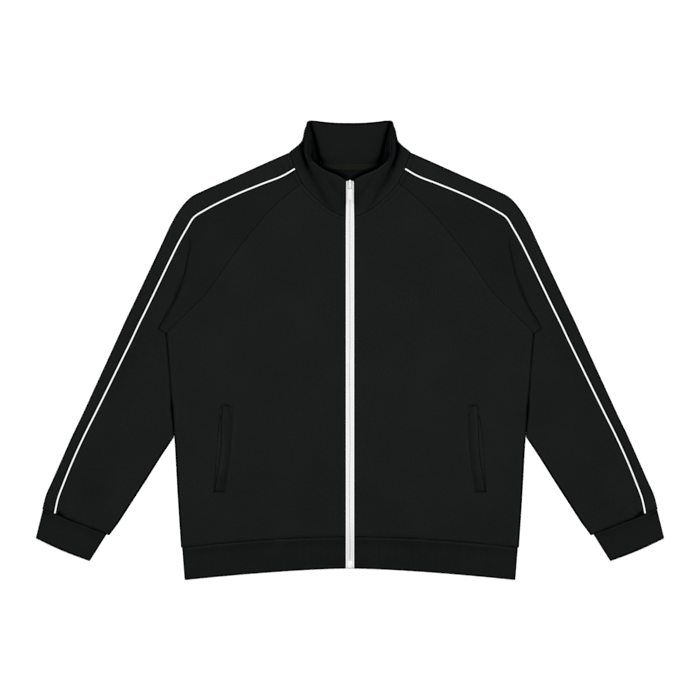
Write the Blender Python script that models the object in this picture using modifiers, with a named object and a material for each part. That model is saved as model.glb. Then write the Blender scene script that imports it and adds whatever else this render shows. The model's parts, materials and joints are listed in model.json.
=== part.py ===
"""A track jacket, zipped up and laid flat on its back.

Run with: blender --background --python part.py

The frame is in metres with +Z up. The jacket lies on z = 0, front upwards, with its collar towards +Y. Left
and right are the wearer's, so left is +X. The origin is under the middle of the laid shape.

Every cloth piece is a wall: an open surface through the middle of the cloth, thickened by Solidify. The
bottom layer (back, the lower halves of the sleeves, the backs of the collar, cuffs and hem band) lies on the
floor, and the top layer lies on it. Pieces that meet at a seam share the seam's points, and each is drawn
back from them. Sizes and places below are in millimetres.
"""

import math
from collections import namedtuple

import bmesh
import bpy
import numpy as np

MM = 0.001

# Thicknesses and gaps
CLOTH = 1.5
BAND = 2.6
TAPE = 1.2
WELT = 1.2
NECK_TAPE = 1.0
SEAM_GAP = 0.3
ARMPIT_GAP = 0.5
COLLAR_GAP = 0.25
CUFF_GAP = 0.4

# Heights of the middle of each wall above the floor
FLOOR_MID = CLOTH / 2
SEAM_MID = CLOTH + SEAM_GAP + CLOTH / 2
TOP_MID = 5.0
BAND_FLOOR_MID = BAND / 2
BAND_TOP_MID = 4.9
TAPE_MID = 4.4
EDGE_ROLL = 30.0

# Body
ARMPIT = (302.4, 27.0)
SIDE_SEAM = [ARMPIT, (299.5, -10.0), (293.4, -92.0), (288.8, -149.0), (283.6, -240.0), (278.0, -325.6)]
HEM_SEAM_HALF = 278.0
HEM_BAND_HALF = 275.5
HEM_BOTTOM_HALF = 269.8
HEM_SEAM_Y = -308.0
HEM_BOTTOM_Y = -360.0
HEM_DROP = 17.9
HEM_CURVE = 1.9
BAND_ROWS = (0.0, 0.33, 0.67, 1.0)
ZIP_EDGE = 7.2
FRONT_COLUMNS = [0.0, 0.14, 0.28, 0.42, 0.56, 0.69, 0.80, 0.89, 0.95, 1.0]
RAGLAN_STEPS = 15
SIDE_STEPS = 8
NECK_SEAM = [(ZIP_EDGE, 220.1), (18.0, 223.6), (30.0, 229.3), (42.0, 237.7), (55.0, 249.3), (67.5, 261.5),
             (79.5, 275.5)]
BACK_NECK_Y = 308.0
BACK_NECK_CURVE = 3.5
BACK_NECK_STEPS = 7

# Sleeve: one row for each section from the neck to the cuff. The fold is the sleeve's outer edge, the seam is
# the raglan seam as far as the armpit and then the underarm seam, and the back seam is the same on the
# underside. The pleat is the soft fold of spare cloth above the armpit, with its height. The crown is how much
# the sleeve's top layer rounds up between the fold and the seam.
SleeveRow = namedtuple("SleeveRow", "fold piping pleat seam back pleat_height crown")
SLEEVE = [
    SleeveRow((99.7, 325.7), (90.8, 300.5), (84.5, 286.5), (79.5, 275.5), (79.0, 316.5), 0.0, 0.0),
    SleeveRow((128.7, 313.0), (109.0, 289.6), (108.5, 270.5), (108.0, 252.8), (107.0, 286.0), 0.0, 0.0),
    SleeveRow((165.0, 296.7), (145.5, 274.8), (142.0, 249.0), (138.0, 224.0), (145.0, 242.5), 0.0, 0.0),
    SleeveRow((203.0, 279.7), (181.5, 260.0), (178.0, 226.0), (166.0, 191.0), (181.5, 196.5), 0.0, 0.3),
    SleeveRow((239.0, 264.0), (216.0, 244.6), (210.5, 206.0), (187.5, 163.0), (211.0, 160.0), 0.0, 0.6),
    SleeveRow((262.5, 252.0), (242.0, 230.6), (233.5, 196.5), (206.5, 137.5), (232.5, 132.0), 0.0, 0.9),
    SleeveRow((281.0, 231.5), (259.0, 219.5), (250.0, 185.5), (223.6, 111.8), (251.0, 107.5), 0.0, 1.2),
    SleeveRow((295.4, 207.0), (270.0, 200.5), (262.5, 170.0), (242.0, 88.5), (264.0, 89.5), 1.0, 1.5),
    SleeveRow((308.5, 179.0), (280.5, 180.5), (267.5, 145.0), (263.5, 67.5), (277.5, 71.0), 2.4, 1.8),
    SleeveRow((323.5, 146.8), (296.0, 149.5), (274.5, 115.5), (283.0, 48.0), (288.5, 53.5), 3.2, 2.1),
    SleeveRow((340.5, 110.8), (316.5, 107.0), (289.5, 77.5), (294.8, 36.2), (297.0, 38.5), 3.6, 2.4),
    SleeveRow((361.5, 66.5), (338.0, 62.5), (312.0, 40.0), ARMPIT, ARMPIT, 3.2, 2.6),
    SleeveRow((369.0, 51.0), (346.0, 46.5), (317.0, 31.0), (302.4, 19.5), (302.4, 19.5), 0.0, 2.7),
    SleeveRow((383.0, 22.0), (360.8, 16.5), (335.0, 5.0), (300.5, -5.0), (300.5, -5.0), 0.0, 2.8),
    SleeveRow((402.7, -20.5), (380.5, -23.0), (350.0, -36.0), (297.6, -46.0), (297.6, -46.0), 0.0, 2.9),
    SleeveRow((422.3, -63.0), (401.0, -65.0), (362.0, -79.0), (294.5, -92.0), (294.5, -92.0), 0.0, 3.0),
    SleeveRow((441.0, -104.0), (420.5, -105.0), (376.0, -120.0), (291.3, -137.5), (291.3, -137.5), 0.0, 3.0),
    SleeveRow((458.0, -141.5), (438.8, -142.5), (394.5, -160.0), (313.0, -174.5), (313.0, -174.5), 0.0, 2.8),
    SleeveRow((474.6, -179.0), (456.0, -180.0), (416.0, -196.0), (336.0, -211.5), (336.0, -211.5), 0.0, 2.4),
    SleeveRow((490.5, -215.0), (471.5, -218.0), (435.5, -232.0), (359.0, -248.0), (359.0, -248.0), 0.0, 1.8),
    SleeveRow((501.5, -241.0), (481.8, -246.0), (448.5, -259.5), (381.5, -284.0), (381.5, -284.0), 0.0, 1.0),
    SleeveRow((506.4, -262.1), (486.9, -270.0), (454.5, -282.9), (397.6, -305.4), (397.6, -305.4), 0.0, 0.2),
]
ARMPIT_ROW = 11
PLEAT_END_ROW = 12
ELBOW_ROW = 16
PLEAT_STEPS_TO = ((ELBOW_ROW, 6), (len(SLEEVE) - 1, 8))
PLEAT_HALF_WIDTH = 2.2
PLEAT_REACH = 0.4
PLEAT_SHAPE = np.array([0, 0, 0, 0, 1, 0.55, 0])

# Piping
PIPING = 3.2
PIPING_PROUD = 0.35

# Cuff: its two ends of the seam with the sleeve and of the open edge
CUFF_SEAM = ((505.2, -262.6), (401.8, -303.7))
CUFF_EDGE = ((516.5, -311.5), (429.5, -346.0))

# Collar: one row for each upright section, from the zip round to the middle of the back. The share says how
# far along the neck seam it stands, the waist is the hollow low on the collar, and the top is its free edge.
CollarRow = namedtuple("CollarRow", "share waist top")
COLLAR = [
    CollarRow(0.00, (ZIP_EDGE, 246.0, 6.6), (ZIP_EDGE, 280.5, 13.5)),
    CollarRow(0.10, (25.5, 252.0, 6.2), (21.5, 288.8, 16.5)),
    CollarRow(0.21, (46.5, 266.5, 5.9), (39.5, 297.8, 21.0)),
    CollarRow(0.31, (61.0, 281.0, 5.8), (53.0, 306.0, 25.0)),
    CollarRow(0.39, (65.5, 297.0, 6.0), (64.0, 315.5, 27.5)),
    CollarRow(0.46, (63.5, 312.5, 6.6), (71.5, 327.0, 28.5)),
    CollarRow(0.52, (62.0, 329.0, 7.0), (73.2, 341.0, 27.5)),
    CollarRow(0.555, (65.0, 343.0, 7.2), (73.0, 354.0, 24.5)),
    CollarRow(0.576, (76.0, 345.5, 7.4), (72.8, 363.0, 19.5)),
    CollarRow(0.587, (79.6, 344.0, 4.8), (72.0, 368.0, 16.0)),
    CollarRow(0.599, (78.2, 342.8, 1.8), (70.6, 372.5, 11.5)),
    CollarRow(0.63, (75.0, 342.8, BAND / 2), (67.9, 376.3, 5.8)),
    CollarRow(0.69, (65.0, 342.0, BAND / 2), (61.0, 377.0, 2.0)),
    CollarRow(0.78, (46.0, 341.0, BAND / 2), (46.0, 375.4, BAND / 2)),
    CollarRow(0.89, (22.0, 340.3, BAND / 2), (22.0, 373.0, BAND / 2)),
    CollarRow(1.00, (0.0, 340.0, BAND / 2), (0.0, 372.4, BAND / 2)),
]
COLLAR_RISE = [0.0, 0.3, 0.65, 1.0, 1.3, 1.65, 2.0]
NECK_TAPE_WIDTH = 11.0
NECK_TAPE_DROP = 0.1

# Pocket welts: the strip's outer edge, which is the pocket's mouth, and its sewn edge, from top to bottom
WELT_MOUTH = [(211.5, -91.5), (214.0, -125.0), (216.5, -160.0), (220.5, -200.0), (223.5, -234.0)]
WELT_SEAM = [(192.5, -93.5), (194.0, -125.0), (197.5, -160.0), (202.0, -200.0), (206.5, -233.5)]
WELT_STEPS = 10

# Zip
ZIP_TOP_Y = 279.5
SLIDER_Y = 272.0
SLIDER_SIZE = (9.4, 12.6, 2.0)
BRIDGE_SIZE = (3.0, 9.6, 3.4)
BRIDGE_WALL = 1.1
BRIDGE_SUNK = 0.6
BRIDGE_ROUND = 1.2
TUNNEL_ROUND = 0.5
PIVOT_HEIGHT = 1.15
PULL_DROOP = math.radians(2.0)
PULL_THICKNESS = 1.5
PULL_LENGTH = 25.0
PULL_WIDTH = 9.6
PULL_NECK_WIDTH = 7.8
PULL_BAR = 1.2
PULL_HOLE = (4.0, 6.4)
ZIP_BOX_SIZE = (8.6, 12.0, 2.2)

BLACK = (0.012, 0.013, 0.0125)
OLIVE = (0.016, 0.017, 0.010)
WHITE = (0.82, 0.82, 0.82)


def spline(points, at):
    """A smooth curve through the points, read at places that count in points."""
    p = np.asarray(points, float)
    at = np.clip(np.asarray(at, float), 0, len(p) - 1)
    step = np.linalg.norm(np.diff(p, axis=0), axis=1).clip(1e-6)[:, None]
    way = np.diff(p, axis=0) / step
    inner = (way[:-1] * step[1:] + way[1:] * step[:-1]) / (step[:-1] + step[1:])
    slope = np.concatenate([way[:1], inner, way[-1:]])
    i = np.minimum(at.astype(int), len(p) - 2)
    t = (at - i)[:, None]
    start = p[i] * (2 * t**3 - 3 * t**2 + 1) + slope[i] * step[i] * (t**3 - 2 * t**2 + t)
    return start + p[i + 1] * (3 * t**2 - 2 * t**3) + slope[i + 1] * step[i] * (t**3 - t**2)


def even_spline(points, count):
    """Points at even distances along the smooth curve through the given ones."""
    fine = spline(points, np.linspace(0, len(points) - 1, 400))
    return evenly(fine, np.linspace(0, 1, count))


def evenly(line, shares):
    """Points of a polyline at these shares of its length."""
    line = np.asarray(line, float)
    along = np.concatenate([[0], np.cumsum(np.linalg.norm(np.diff(line, axis=0), axis=1))])
    at = np.asarray(shares) * along[-1]
    return np.stack([np.interp(at, along, line[:, k]) for k in range(line.shape[1])], axis=1)


def lengths(line):
    """The share of a polyline's length at each of its points."""
    along = np.concatenate([[0], np.cumsum(np.linalg.norm(np.diff(line, axis=0), axis=1))])
    return along / along[-1]


def between(a, b, shares):
    """Points on the straight line from a to b."""
    a, b = np.asarray(a, float), np.asarray(b, float)
    return a + (b - a) * np.asarray(shares, float)[:, None]


def with_height(points, height):
    points = np.asarray(points, float)
    heights = np.broadcast_to(np.asarray(height, float), points.shape[:-1])
    return np.concatenate([points, heights[..., None]], axis=-1)


def distance_to(points, line):
    """How far each plan point is from a polyline."""
    points, line = np.asarray(points, float), np.asarray(line, float)
    start, way = line[:-1], np.diff(line, axis=0)
    share = ((points[..., None, :] - start) * way).sum(-1) / (way**2).sum(-1)
    nearest = start + share.clip(0, 1)[..., None] * way
    return np.linalg.norm(points[..., None, :] - nearest, axis=-1).min(-1)


UNDERARM = [row.seam for row in SLEEVE[ARMPIT_ROW:]]


def top_height(points):
    """The middle of the top layer, which comes down to the bottom one at the side and underarm seams."""
    away = np.minimum(distance_to(points, SIDE_SEAM), distance_to(points, UNDERARM))
    roll = 1 - (1 - (away / EDGE_ROLL).clip(0, 1)) ** 2
    return SEAM_MID + (TOP_MID - SEAM_MID) * roll


def hem_y(x, centre):
    return centre - HEM_DROP * (np.abs(x) / HEM_SEAM_HALF) ** HEM_CURVE


def drawn_back(grid, axis, end, by):
    """The grid with one of its edges moved inwards, square to that edge, by one distance or one a point."""
    grid = grid.copy()
    lines = grid if axis == 0 else grid.transpose(1, 0, 2)
    edge, inner = (0, 1) if end == 0 else (-1, -2)
    along = np.gradient(lines[edge], axis=0)
    along /= np.linalg.norm(along, axis=1)[:, None]
    inwards = lines[inner] - lines[edge]
    square = inwards - (inwards * along).sum(1)[:, None] * along
    lines[edge] += inwards * (by / np.linalg.norm(square, axis=1))[:, None]
    return grid


def fold_arc(centre, outward, low, high, steps):
    """The round of a fold, from the top layer to the bottom one, without its two ends."""
    radius, middle = (high - low) / 2, (high + low) / 2
    turn = np.linspace(math.pi / 2, -math.pi / 2, steps + 1)[1:-1]
    plan = np.asarray(centre) + np.outer(radius * np.cos(turn), outward)
    return with_height(plan, middle + radius * np.sin(turn))


# Surfaces ----------------------------------------------------------------------------------------------


def sleeve_places():
    """Where the sleeve's sections are, counted in rows of its table."""
    places = [np.linspace(0, ARMPIT_ROW, RAGLAN_STEPS + 1)]
    start = PLEAT_END_ROW
    for row, steps in PLEAT_STEPS_TO:
        places.append(np.linspace(start, row, steps + 1)[(start != PLEAT_END_ROW) :])
        start = row
    return np.concatenate(places)


def sleeve_guides():
    """The sleeve's guide lines in plan and its heights, each read at every section."""
    at = sleeve_places()
    guides = {name: spline([getattr(row, name) for row in SLEEVE], at)
              for name in ("fold", "piping", "pleat", "seam", "back")}
    for name in ("pleat_height", "crown"):
        guides[name] = np.interp(at, range(len(SLEEVE)), [getattr(row, name) for row in SLEEVE])
    along = np.gradient(guides["fold"], axis=0)
    guides["outward"] = np.stack([-along[:, 1], along[:, 0]], axis=1) / np.linalg.norm(along, axis=1)[:, None]
    outer_radius = (TOP_MID - FLOOR_MID + CLOTH) / 2
    guides["centre"] = guides["fold"] - guides["outward"] * outer_radius
    return guides


def sleeve_sections(guides):
    """One dictionary of guide points and heights for each section of the sleeve."""
    return [{name: values[k] for name, values in guides.items()} for k in range(len(guides["fold"]))]


def sleeve_top(points, section):
    """The middle of the sleeve's top layer, which rounds up between its fold and its seam."""
    from_fold = np.linalg.norm(points - section["centre"], axis=-1)
    from_seam = np.linalg.norm(points - section["seam"], axis=-1)
    return top_height(points) + section["crown"] * np.sin(math.pi * from_fold / (from_fold + from_seam)) ** 2


def sleeve_front_grid(guides):
    """The front half of the sleeve, from the piping to the raglan and underarm seams."""
    rows = []
    for section in sleeve_sections(guides):
        piping, pleat, seam = section["piping"], section["pleat"], section["seam"]
        near = PLEAT_HALF_WIDTH / np.linalg.norm(pleat - piping)
        beyond = min(PLEAT_HALF_WIDTH / np.linalg.norm(seam - pleat), PLEAT_REACH)
        plan = np.concatenate([
            between(piping, pleat, [0, 0.35, 0.7, 1 - near]),
            between(pleat, seam, [beyond, (1 + beyond) / 2, 1]),
        ])
        rows.append(with_height(plan, sleeve_top(plan, section) + section["pleat_height"] * PLEAT_SHAPE))
    return np.array(rows)


def sleeve_back_grid(guides):
    """The back half of the sleeve: from the piping over the outer fold, and under to the back seam."""
    rows = []
    for section in sleeve_sections(guides):
        piping, centre = section["piping"], section["centre"]
        top = between(piping, centre, [0, 0.5, 1])
        rows.append(np.concatenate([
            with_height(top, sleeve_top(top, section)),
            fold_arc(centre, section["outward"], FLOOR_MID, TOP_MID, 4),
            with_height(between(centre, section["back"], [0, 0.33, 0.67, 1]), FLOOR_MID),
        ]))
    return np.array(rows)


def front_grid(guides):
    """One body front, a patch between the neck, raglan, side and hem seams and the zip."""
    raglan = guides["seam"][: RAGLAN_STEPS + 1]
    side = even_spline(SIDE_SEAM, SIDE_STEPS + 1)[1:]
    outer = np.concatenate([raglan, side])
    s = np.array(FRONT_COLUMNS)[None, :, None]
    v = lengths(outer)[:, None, None]
    neck = evenly(spline(NECK_SEAM, np.linspace(0, len(NECK_SEAM) - 1, 200)), FRONT_COLUMNS)
    hem_x = ZIP_EDGE + (HEM_SEAM_HALF - ZIP_EDGE) * np.array(FRONT_COLUMNS)
    hem = np.stack([hem_x, hem_y(hem_x, HEM_SEAM_Y)], axis=1)
    hem[-1] = outer[-1]
    inner = between(neck[0], hem[0], v.ravel())
    corners = (1 - s) * ((1 - v) * neck[0] + v * hem[0]) + s * ((1 - v) * neck[-1] + v * hem[-1])
    plan = (1 - v) * neck + v * hem + (1 - s) * inner[:, None] + s * outer[:, None] - corners
    return with_height(plan, top_height(plan))


def back_neck_y(x):
    side_x, side_y = SLEEVE[0].back
    return BACK_NECK_Y + (side_y - BACK_NECK_Y) * (x / side_x) ** BACK_NECK_CURVE


def back_neck():
    """The back's neck seam, from the raglan seam to the middle."""
    x = np.linspace(SLEEVE[0].back[0], 0, BACK_NECK_STEPS + 1)
    return np.stack([x, back_neck_y(x)], axis=1)


def neck_seam(front, sleeve_front, sleeve_back):
    """The seam that the collar stands on, from the zip to the middle of the back."""
    back = with_height(back_neck()[1:], FLOOR_MID)
    seam = np.concatenate([front[0], sleeve_front[0][::-1][1:], sleeve_back[0][1:], back])
    share = (seam[:, 2] - FLOOR_MID) / (TOP_MID - FLOOR_MID)
    seam[:, 2] = BAND_FLOOR_MID + share.clip(0, 1) * (BAND_TOP_MID - BAND_FLOOR_MID)
    return seam


def collar_grid(seam):
    """Half of the collar, from the zip to the middle of the back."""
    at = np.interp(lengths(seam), [row.share for row in COLLAR], range(len(COLLAR)))
    waist = spline([row.waist for row in COLLAR], at)
    top = spline([row.top for row in COLLAR], at)
    upright = [spline(np.array([s, w, t]), COLLAR_RISE) for s, w, t in zip(seam, waist, top)]
    grid = np.array(upright).transpose(1, 0, 2)
    grid[:, :, 2] = np.maximum(grid[:, :, 2], grid[0, :, 2])
    grid[:, 0, 0] = ZIP_EDGE
    grid[:, -1, 0] = 0.0
    return grid


def hem_band_grid():
    """Half of the hem band, from the zip over the side fold to the middle of the back."""
    outer_radius = (BAND_TOP_MID - BAND_FLOOR_MID + BAND) / 2
    rows = []
    for share in BAND_ROWS:
        half = HEM_BAND_HALF + (HEM_BOTTOM_HALF - HEM_BAND_HALF) * share
        centre = HEM_SEAM_Y + (HEM_BOTTOM_Y - HEM_SEAM_Y) * share
        fold_x = half - outer_radius
        front_x = ZIP_EDGE + (fold_x - ZIP_EDGE) * np.linspace(0, 1, 10)
        back_x = fold_x * np.linspace(1, 0, 10)
        fold_y = hem_y(fold_x, centre)
        rows.append(np.concatenate([
            with_height(np.stack([front_x, hem_y(front_x, centre)], axis=1), BAND_TOP_MID),
            fold_arc((fold_x, fold_y), (1.0, 0.0), BAND_FLOOR_MID, BAND_TOP_MID, 4),
            with_height(np.stack([back_x, hem_y(back_x, centre)], axis=1), BAND_FLOOR_MID),
        ]))
    return np.array(rows)


def cuff_grid():
    """A cuff: a flattened ring from its seam to its open edge. The last column meets the first."""
    outer_radius = (BAND_TOP_MID - BAND_FLOOR_MID + BAND) / 2
    flat = np.linspace(0, 1, 7)
    rows = []
    for share in BAND_ROWS:
        outer, inner = (between(a, b, [share])[0] for a, b in zip(CUFF_SEAM, CUFF_EDGE))
        out = (outer - inner) / np.linalg.norm(outer - inner)
        far, near = outer - out * outer_radius, inner + out * outer_radius
        rows.append(np.concatenate([
            with_height(between(near, far, flat), BAND_TOP_MID),
            fold_arc(far, out, BAND_FLOOR_MID, BAND_TOP_MID, 4),
            with_height(between(far, near, flat), BAND_FLOOR_MID),
            fold_arc(near, -out, BAND_FLOOR_MID, BAND_TOP_MID, 4)[::-1],
        ]))
    return np.array(rows)


def welt_grid():
    """A pocket welt, lying on the front."""
    mouth = even_spline(WELT_MOUTH, WELT_STEPS + 1)
    sewn = even_spline(WELT_SEAM, WELT_STEPS + 1)
    plan = np.stack([mouth, (mouth + sewn) / 2, sewn], axis=1)
    return with_height(plan, top_height(plan) + CLOTH / 2 + SEAM_GAP + WELT / 2)


def neck_tape_grid():
    """Half of the tape that covers the back neck seam, lying on the inside of the back."""
    x = back_neck()[1:, 0]
    rows = [np.stack([x, back_neck_y(x) - drop], axis=1) for drop in (NECK_TAPE_DROP, NECK_TAPE_WIDTH)]
    return with_height(np.array(rows), CLOTH + SEAM_GAP + NECK_TAPE / 2)


def zip_line(collar):
    """Where the zip's middle runs, as (y, z), from the hem to the collar's top."""
    body = [(y, TAPE_MID) for y in np.linspace(HEM_BOTTOM_Y + 1, collar[0, 0, 1] - 6, 12)]
    rising = [(y, z - (BAND_TOP_MID - TAPE_MID)) for _, y, z in collar[:, 0]]
    rising[-1] = (ZIP_TOP_Y, rising[-1][1])
    return np.array(body + rising)


def zip_tape_grid(line):
    inner = np.stack([np.full(len(line), SEAM_GAP / 2), line[:, 0], line[:, 1]], axis=1)
    outer = inner.copy()
    outer[:, 0] = ZIP_EDGE - SEAM_GAP
    return np.stack([inner, outer], axis=1)


# Blender objects ---------------------------------------------------------------------------------------


def material(name, colour, roughness=0.9, metallic=0.0):
    made = bpy.data.materials.new(name)
    made.use_nodes = True
    shader = made.node_tree.nodes["Principled BSDF"]
    shader.inputs["Base Color"].default_value = (*colour, 1)
    shader.inputs["Roughness"].default_value = roughness
    shader.inputs["Metallic"].default_value = metallic
    return made


def placed(name, data, collection, finish, parent=None):
    """A new object of this data, in the collection, with its own material."""
    obj = bpy.data.objects.new(name, data)
    collection.objects.link(obj)
    data.materials.append(material(name, *finish))
    obj.parent = parent
    return obj


def sheet(name, grid, thickness, collection, finish, closed=False, mirrored=False):
    """A cloth wall through a grid of points. A closed grid is a ring; a mirrored one is half of the piece."""
    rows, columns = grid.shape[:2]
    faces = []
    for row in range(rows - 1):
        start, above = row * columns, (row + 1) * columns
        for c in range(columns if closed else columns - 1):
            after = (c + 1) % columns
            faces.append((start + c, start + after, above + after, above + c))
    mesh = bpy.data.meshes.new(name)
    mesh.from_pydata((grid.reshape(-1, 3) * MM).tolist(), [], faces)
    obj = placed(name, mesh, collection, finish)
    if mirrored:
        mirror = obj.modifiers.new("Mirror", "MIRROR")
        mirror.merge_threshold = 0.01 * MM
    wall = obj.modifiers.new("Wall", "SOLIDIFY")
    wall.thickness = thickness * MM
    wall.offset = 0.0
    wall.use_even_offset = True
    mesh.shade_smooth()
    return obj


def on_right(grid):
    """The same grid on the wearer's right."""
    return grid * np.array([-1.0, 1.0, 1.0])


def pair(name, grid, thickness, collection, finish, closed=False):
    """A piece on the wearer's left and its twin on the right."""
    for side, placed_grid in (("left", grid), ("right", on_right(grid))):
        sheet(f"{name}_{side}", placed_grid, thickness, collection, finish, closed)


def flat_plate(name, outlines, thickness, collection, finish, parent=None):
    """A plate with a flat outline, and holes where it has more outlines than one."""
    curve = bpy.data.curves.new(name, "CURVE")
    curve.dimensions = "2D"
    curve.fill_mode = "BOTH"
    curve.extrude = thickness * MM / 2
    for outline in outlines:
        ring = curve.splines.new("POLY")
        ring.points.add(len(outline) - 1)
        for point, (x, y) in zip(ring.points, outline):
            point.co = (x * MM, y * MM, 0, 1)
        ring.use_cyclic_u = True
    return placed(name, curve, collection, finish, parent)


def block(name, size, bevel, collection, finish, parent=None):
    """A box with rounded edges, its size in its mesh."""
    mesh = bpy.data.meshes.new(name)
    solid = bmesh.new()
    bmesh.ops.create_cube(solid, size=1.0)
    bmesh.ops.scale(solid, vec=[side * MM for side in size], verts=solid.verts)
    solid.to_mesh(mesh)
    solid.free()
    obj = placed(name, mesh, collection, finish, parent)
    rounded = obj.modifiers.new("Rounded", "BEVEL")
    rounded.width = bevel * MM
    rounded.segments = 2
    rounded.limit_method = "NONE"
    return obj


def rounded_outline(width, length, radius, centre_y=0.0, steps=4):
    """A rectangle with round corners, as plan points."""
    points = []
    corners = ((1, 1, 0), (-1, 1, 90), (-1, -1, 180), (1, -1, 270))
    for sx, sy, first in corners:
        for k in range(steps + 1):
            turn = math.radians(first + 90 * k / steps)
            points.append((sx * (width / 2 - radius) + radius * math.cos(turn),
                           centre_y + sy * (length / 2 - radius) + radius * math.sin(turn)))
    return points


def build_back(guides, collection, finish):
    """The back, a flat panel on the floor."""
    raglan = guides["back"][: RAGLAN_STEPS + 1]
    side = even_spline(SIDE_SEAM, SIDE_STEPS + 1)[1:]
    hem_x = np.linspace(HEM_SEAM_HALF, 0, 12)[1:]
    hem = np.stack([hem_x, hem_y(hem_x, HEM_SEAM_Y)], axis=1)
    half = np.concatenate([back_neck()[::-1][:-1], raglan, side, hem])
    whole = np.concatenate([half, on_right(with_height(half, 0))[::-1, :2][1:-1]])
    before, after = np.roll(whole, 1, axis=0), np.roll(whole, -1, axis=0)
    ways = [w / np.linalg.norm(w, axis=1)[:, None] for w in (whole - before, after - whole)]
    normals = [np.stack([-w[:, 1], w[:, 0]], axis=1) for w in ways]
    inward = -(normals[0] + normals[1])
    inward /= (1 + (normals[0] * normals[1]).sum(1))[:, None]
    drawn = whole + inward * SEAM_GAP / 2
    back = flat_plate("back", [drawn], CLOTH, collection, finish)
    back.location.z = FLOOR_MID * MM


def build_body(collection, black):
    """The fronts and sleeves, with the grids that their neighbours share."""
    gap = SEAM_GAP / 2
    slot = PIPING / 2 + SEAM_GAP
    guides = sleeve_guides()
    raglan = np.full(RAGLAN_STEPS + 1, gap)
    raglan[-1] = ARMPIT_GAP
    front = front_grid(guides)
    sleeve_front = sleeve_front_grid(guides)
    sleeve_back = sleeve_back_grid(guides)
    seam = neck_seam(front, sleeve_front, sleeve_back)

    build_back(guides, collection, black)
    drawn = drawn_back(front, 0, 0, gap)
    drawn = drawn_back(drawn, 0, -1, gap)
    drawn[: RAGLAN_STEPS + 1] = drawn_back(drawn[: RAGLAN_STEPS + 1], 1, -1, raglan)
    pair("front", drawn, CLOTH, collection, black)

    drawn = drawn_back(sleeve_front, 0, 0, gap)
    drawn = drawn_back(drawn, 0, -1, CUFF_GAP)
    drawn = drawn_back(drawn, 1, 0, slot)
    drawn[: RAGLAN_STEPS + 1] = drawn_back(drawn[: RAGLAN_STEPS + 1], 1, -1, raglan)
    pair("sleeve_front", drawn, CLOTH, collection, black)

    drawn = drawn_back(sleeve_back, 0, 0, gap)
    drawn = drawn_back(drawn, 0, -1, CUFF_GAP)
    drawn = drawn_back(drawn, 1, 0, slot)
    drawn[: RAGLAN_STEPS + 1] = drawn_back(drawn[: RAGLAN_STEPS + 1], 1, -1, raglan)
    pair("sleeve_back", drawn, CLOTH, collection, black)
    return guides, seam


def build_piping(guides, collection, white):
    """White piping between the two halves of each sleeve."""
    heights = [sleeve_top(section["piping"], section) for section in sleeve_sections(guides)]
    line = with_height(guides["piping"], np.array(heights) + PIPING_PROUD)
    start, end = line[1] - line[0], line[-2] - line[-1]
    line[0] += start / np.linalg.norm(start) * 2 * SEAM_GAP
    line[-1] += end / np.linalg.norm(end) * 2 * SEAM_GAP
    for side, points in (("left", line), ("right", on_right(line))):
        curve = bpy.data.curves.new(f"piping_{side}", "CURVE")
        curve.dimensions = "3D"
        curve.bevel_depth = PIPING / 2 * MM
        curve.bevel_resolution = 2
        curve.use_fill_caps = True
        run = curve.splines.new("POLY")
        run.points.add(len(points) - 1)
        for point, place in zip(run.points, points):
            point.co = (*(place * MM), 1)
        placed(f"piping_{side}", curve, collection, white)


def build_bands(seam, collection, black, olive):
    """The collar, hem band and cuffs, each of cloth folded double, and the tape inside the neck."""
    gap = SEAM_GAP / 2
    collar = collar_grid(seam)
    sheet("collar", drawn_back(collar, 0, 0, COLLAR_GAP), BAND, collection, black, mirrored=True)
    sheet("neck_tape", neck_tape_grid(), NECK_TAPE, collection, olive, mirrored=True)
    band = drawn_back(hem_band_grid(), 0, 0, gap)
    sheet("hem_band", band, BAND, collection, black, mirrored=True)
    pair("cuff", drawn_back(cuff_grid(), 0, 0, gap), BAND, collection, black, closed=True)
    return collar


def build_slider(frame, collection, joined, white):
    """The slider's body with the bridge that holds the pull tab."""
    body = block("zip_slider", SLIDER_SIZE, 0.7, collection, white, frame)
    body.location.z = (SEAM_GAP + SLIDER_SIZE[2] / 2) * MM
    width, length, height = BRIDGE_SIZE
    tunnel_height = height - BRIDGE_WALL
    outer = rounded_outline(length, height + BRIDGE_SUNK, BRIDGE_ROUND, (height - BRIDGE_SUNK) / 2)
    tunnel = rounded_outline(length - 2 * BRIDGE_WALL, tunnel_height, TUNNEL_ROUND, tunnel_height / 2)
    arch = flat_plate("bridge_outline", [outer, tunnel], width, joined, white, frame)
    arch.rotation_euler = (math.pi / 2, 0, math.pi / 2)
    arch.location.z = (SEAM_GAP + SLIDER_SIZE[2]) * MM
    bpy.context.view_layer.update()
    bridge = as_mesh(arch, joined)
    join = body.modifiers.new("Bridge", "BOOLEAN")
    join.operation = "UNION"
    join.object = bridge
    bridge.hide_render = True
    bridge.display_type = "WIRE"


def as_mesh(curve, collection):
    """A mesh object in a curve's place, with its caps welded."""
    made = bpy.data.meshes.new_from_object(curve.evaluated_get(bpy.context.evaluated_depsgraph_get()))
    solid = bmesh.new()
    solid.from_mesh(made)
    bmesh.ops.remove_doubles(solid, verts=solid.verts, dist=0.001 * MM)
    bmesh.ops.recalc_face_normals(solid, faces=solid.faces)
    solid.to_mesh(made)
    solid.free()
    obj = bpy.data.objects.new(curve.name + "_solid", made)
    collection.objects.link(obj)
    obj.matrix_world = curve.matrix_world
    bpy.data.objects.remove(curve)
    return obj


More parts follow.
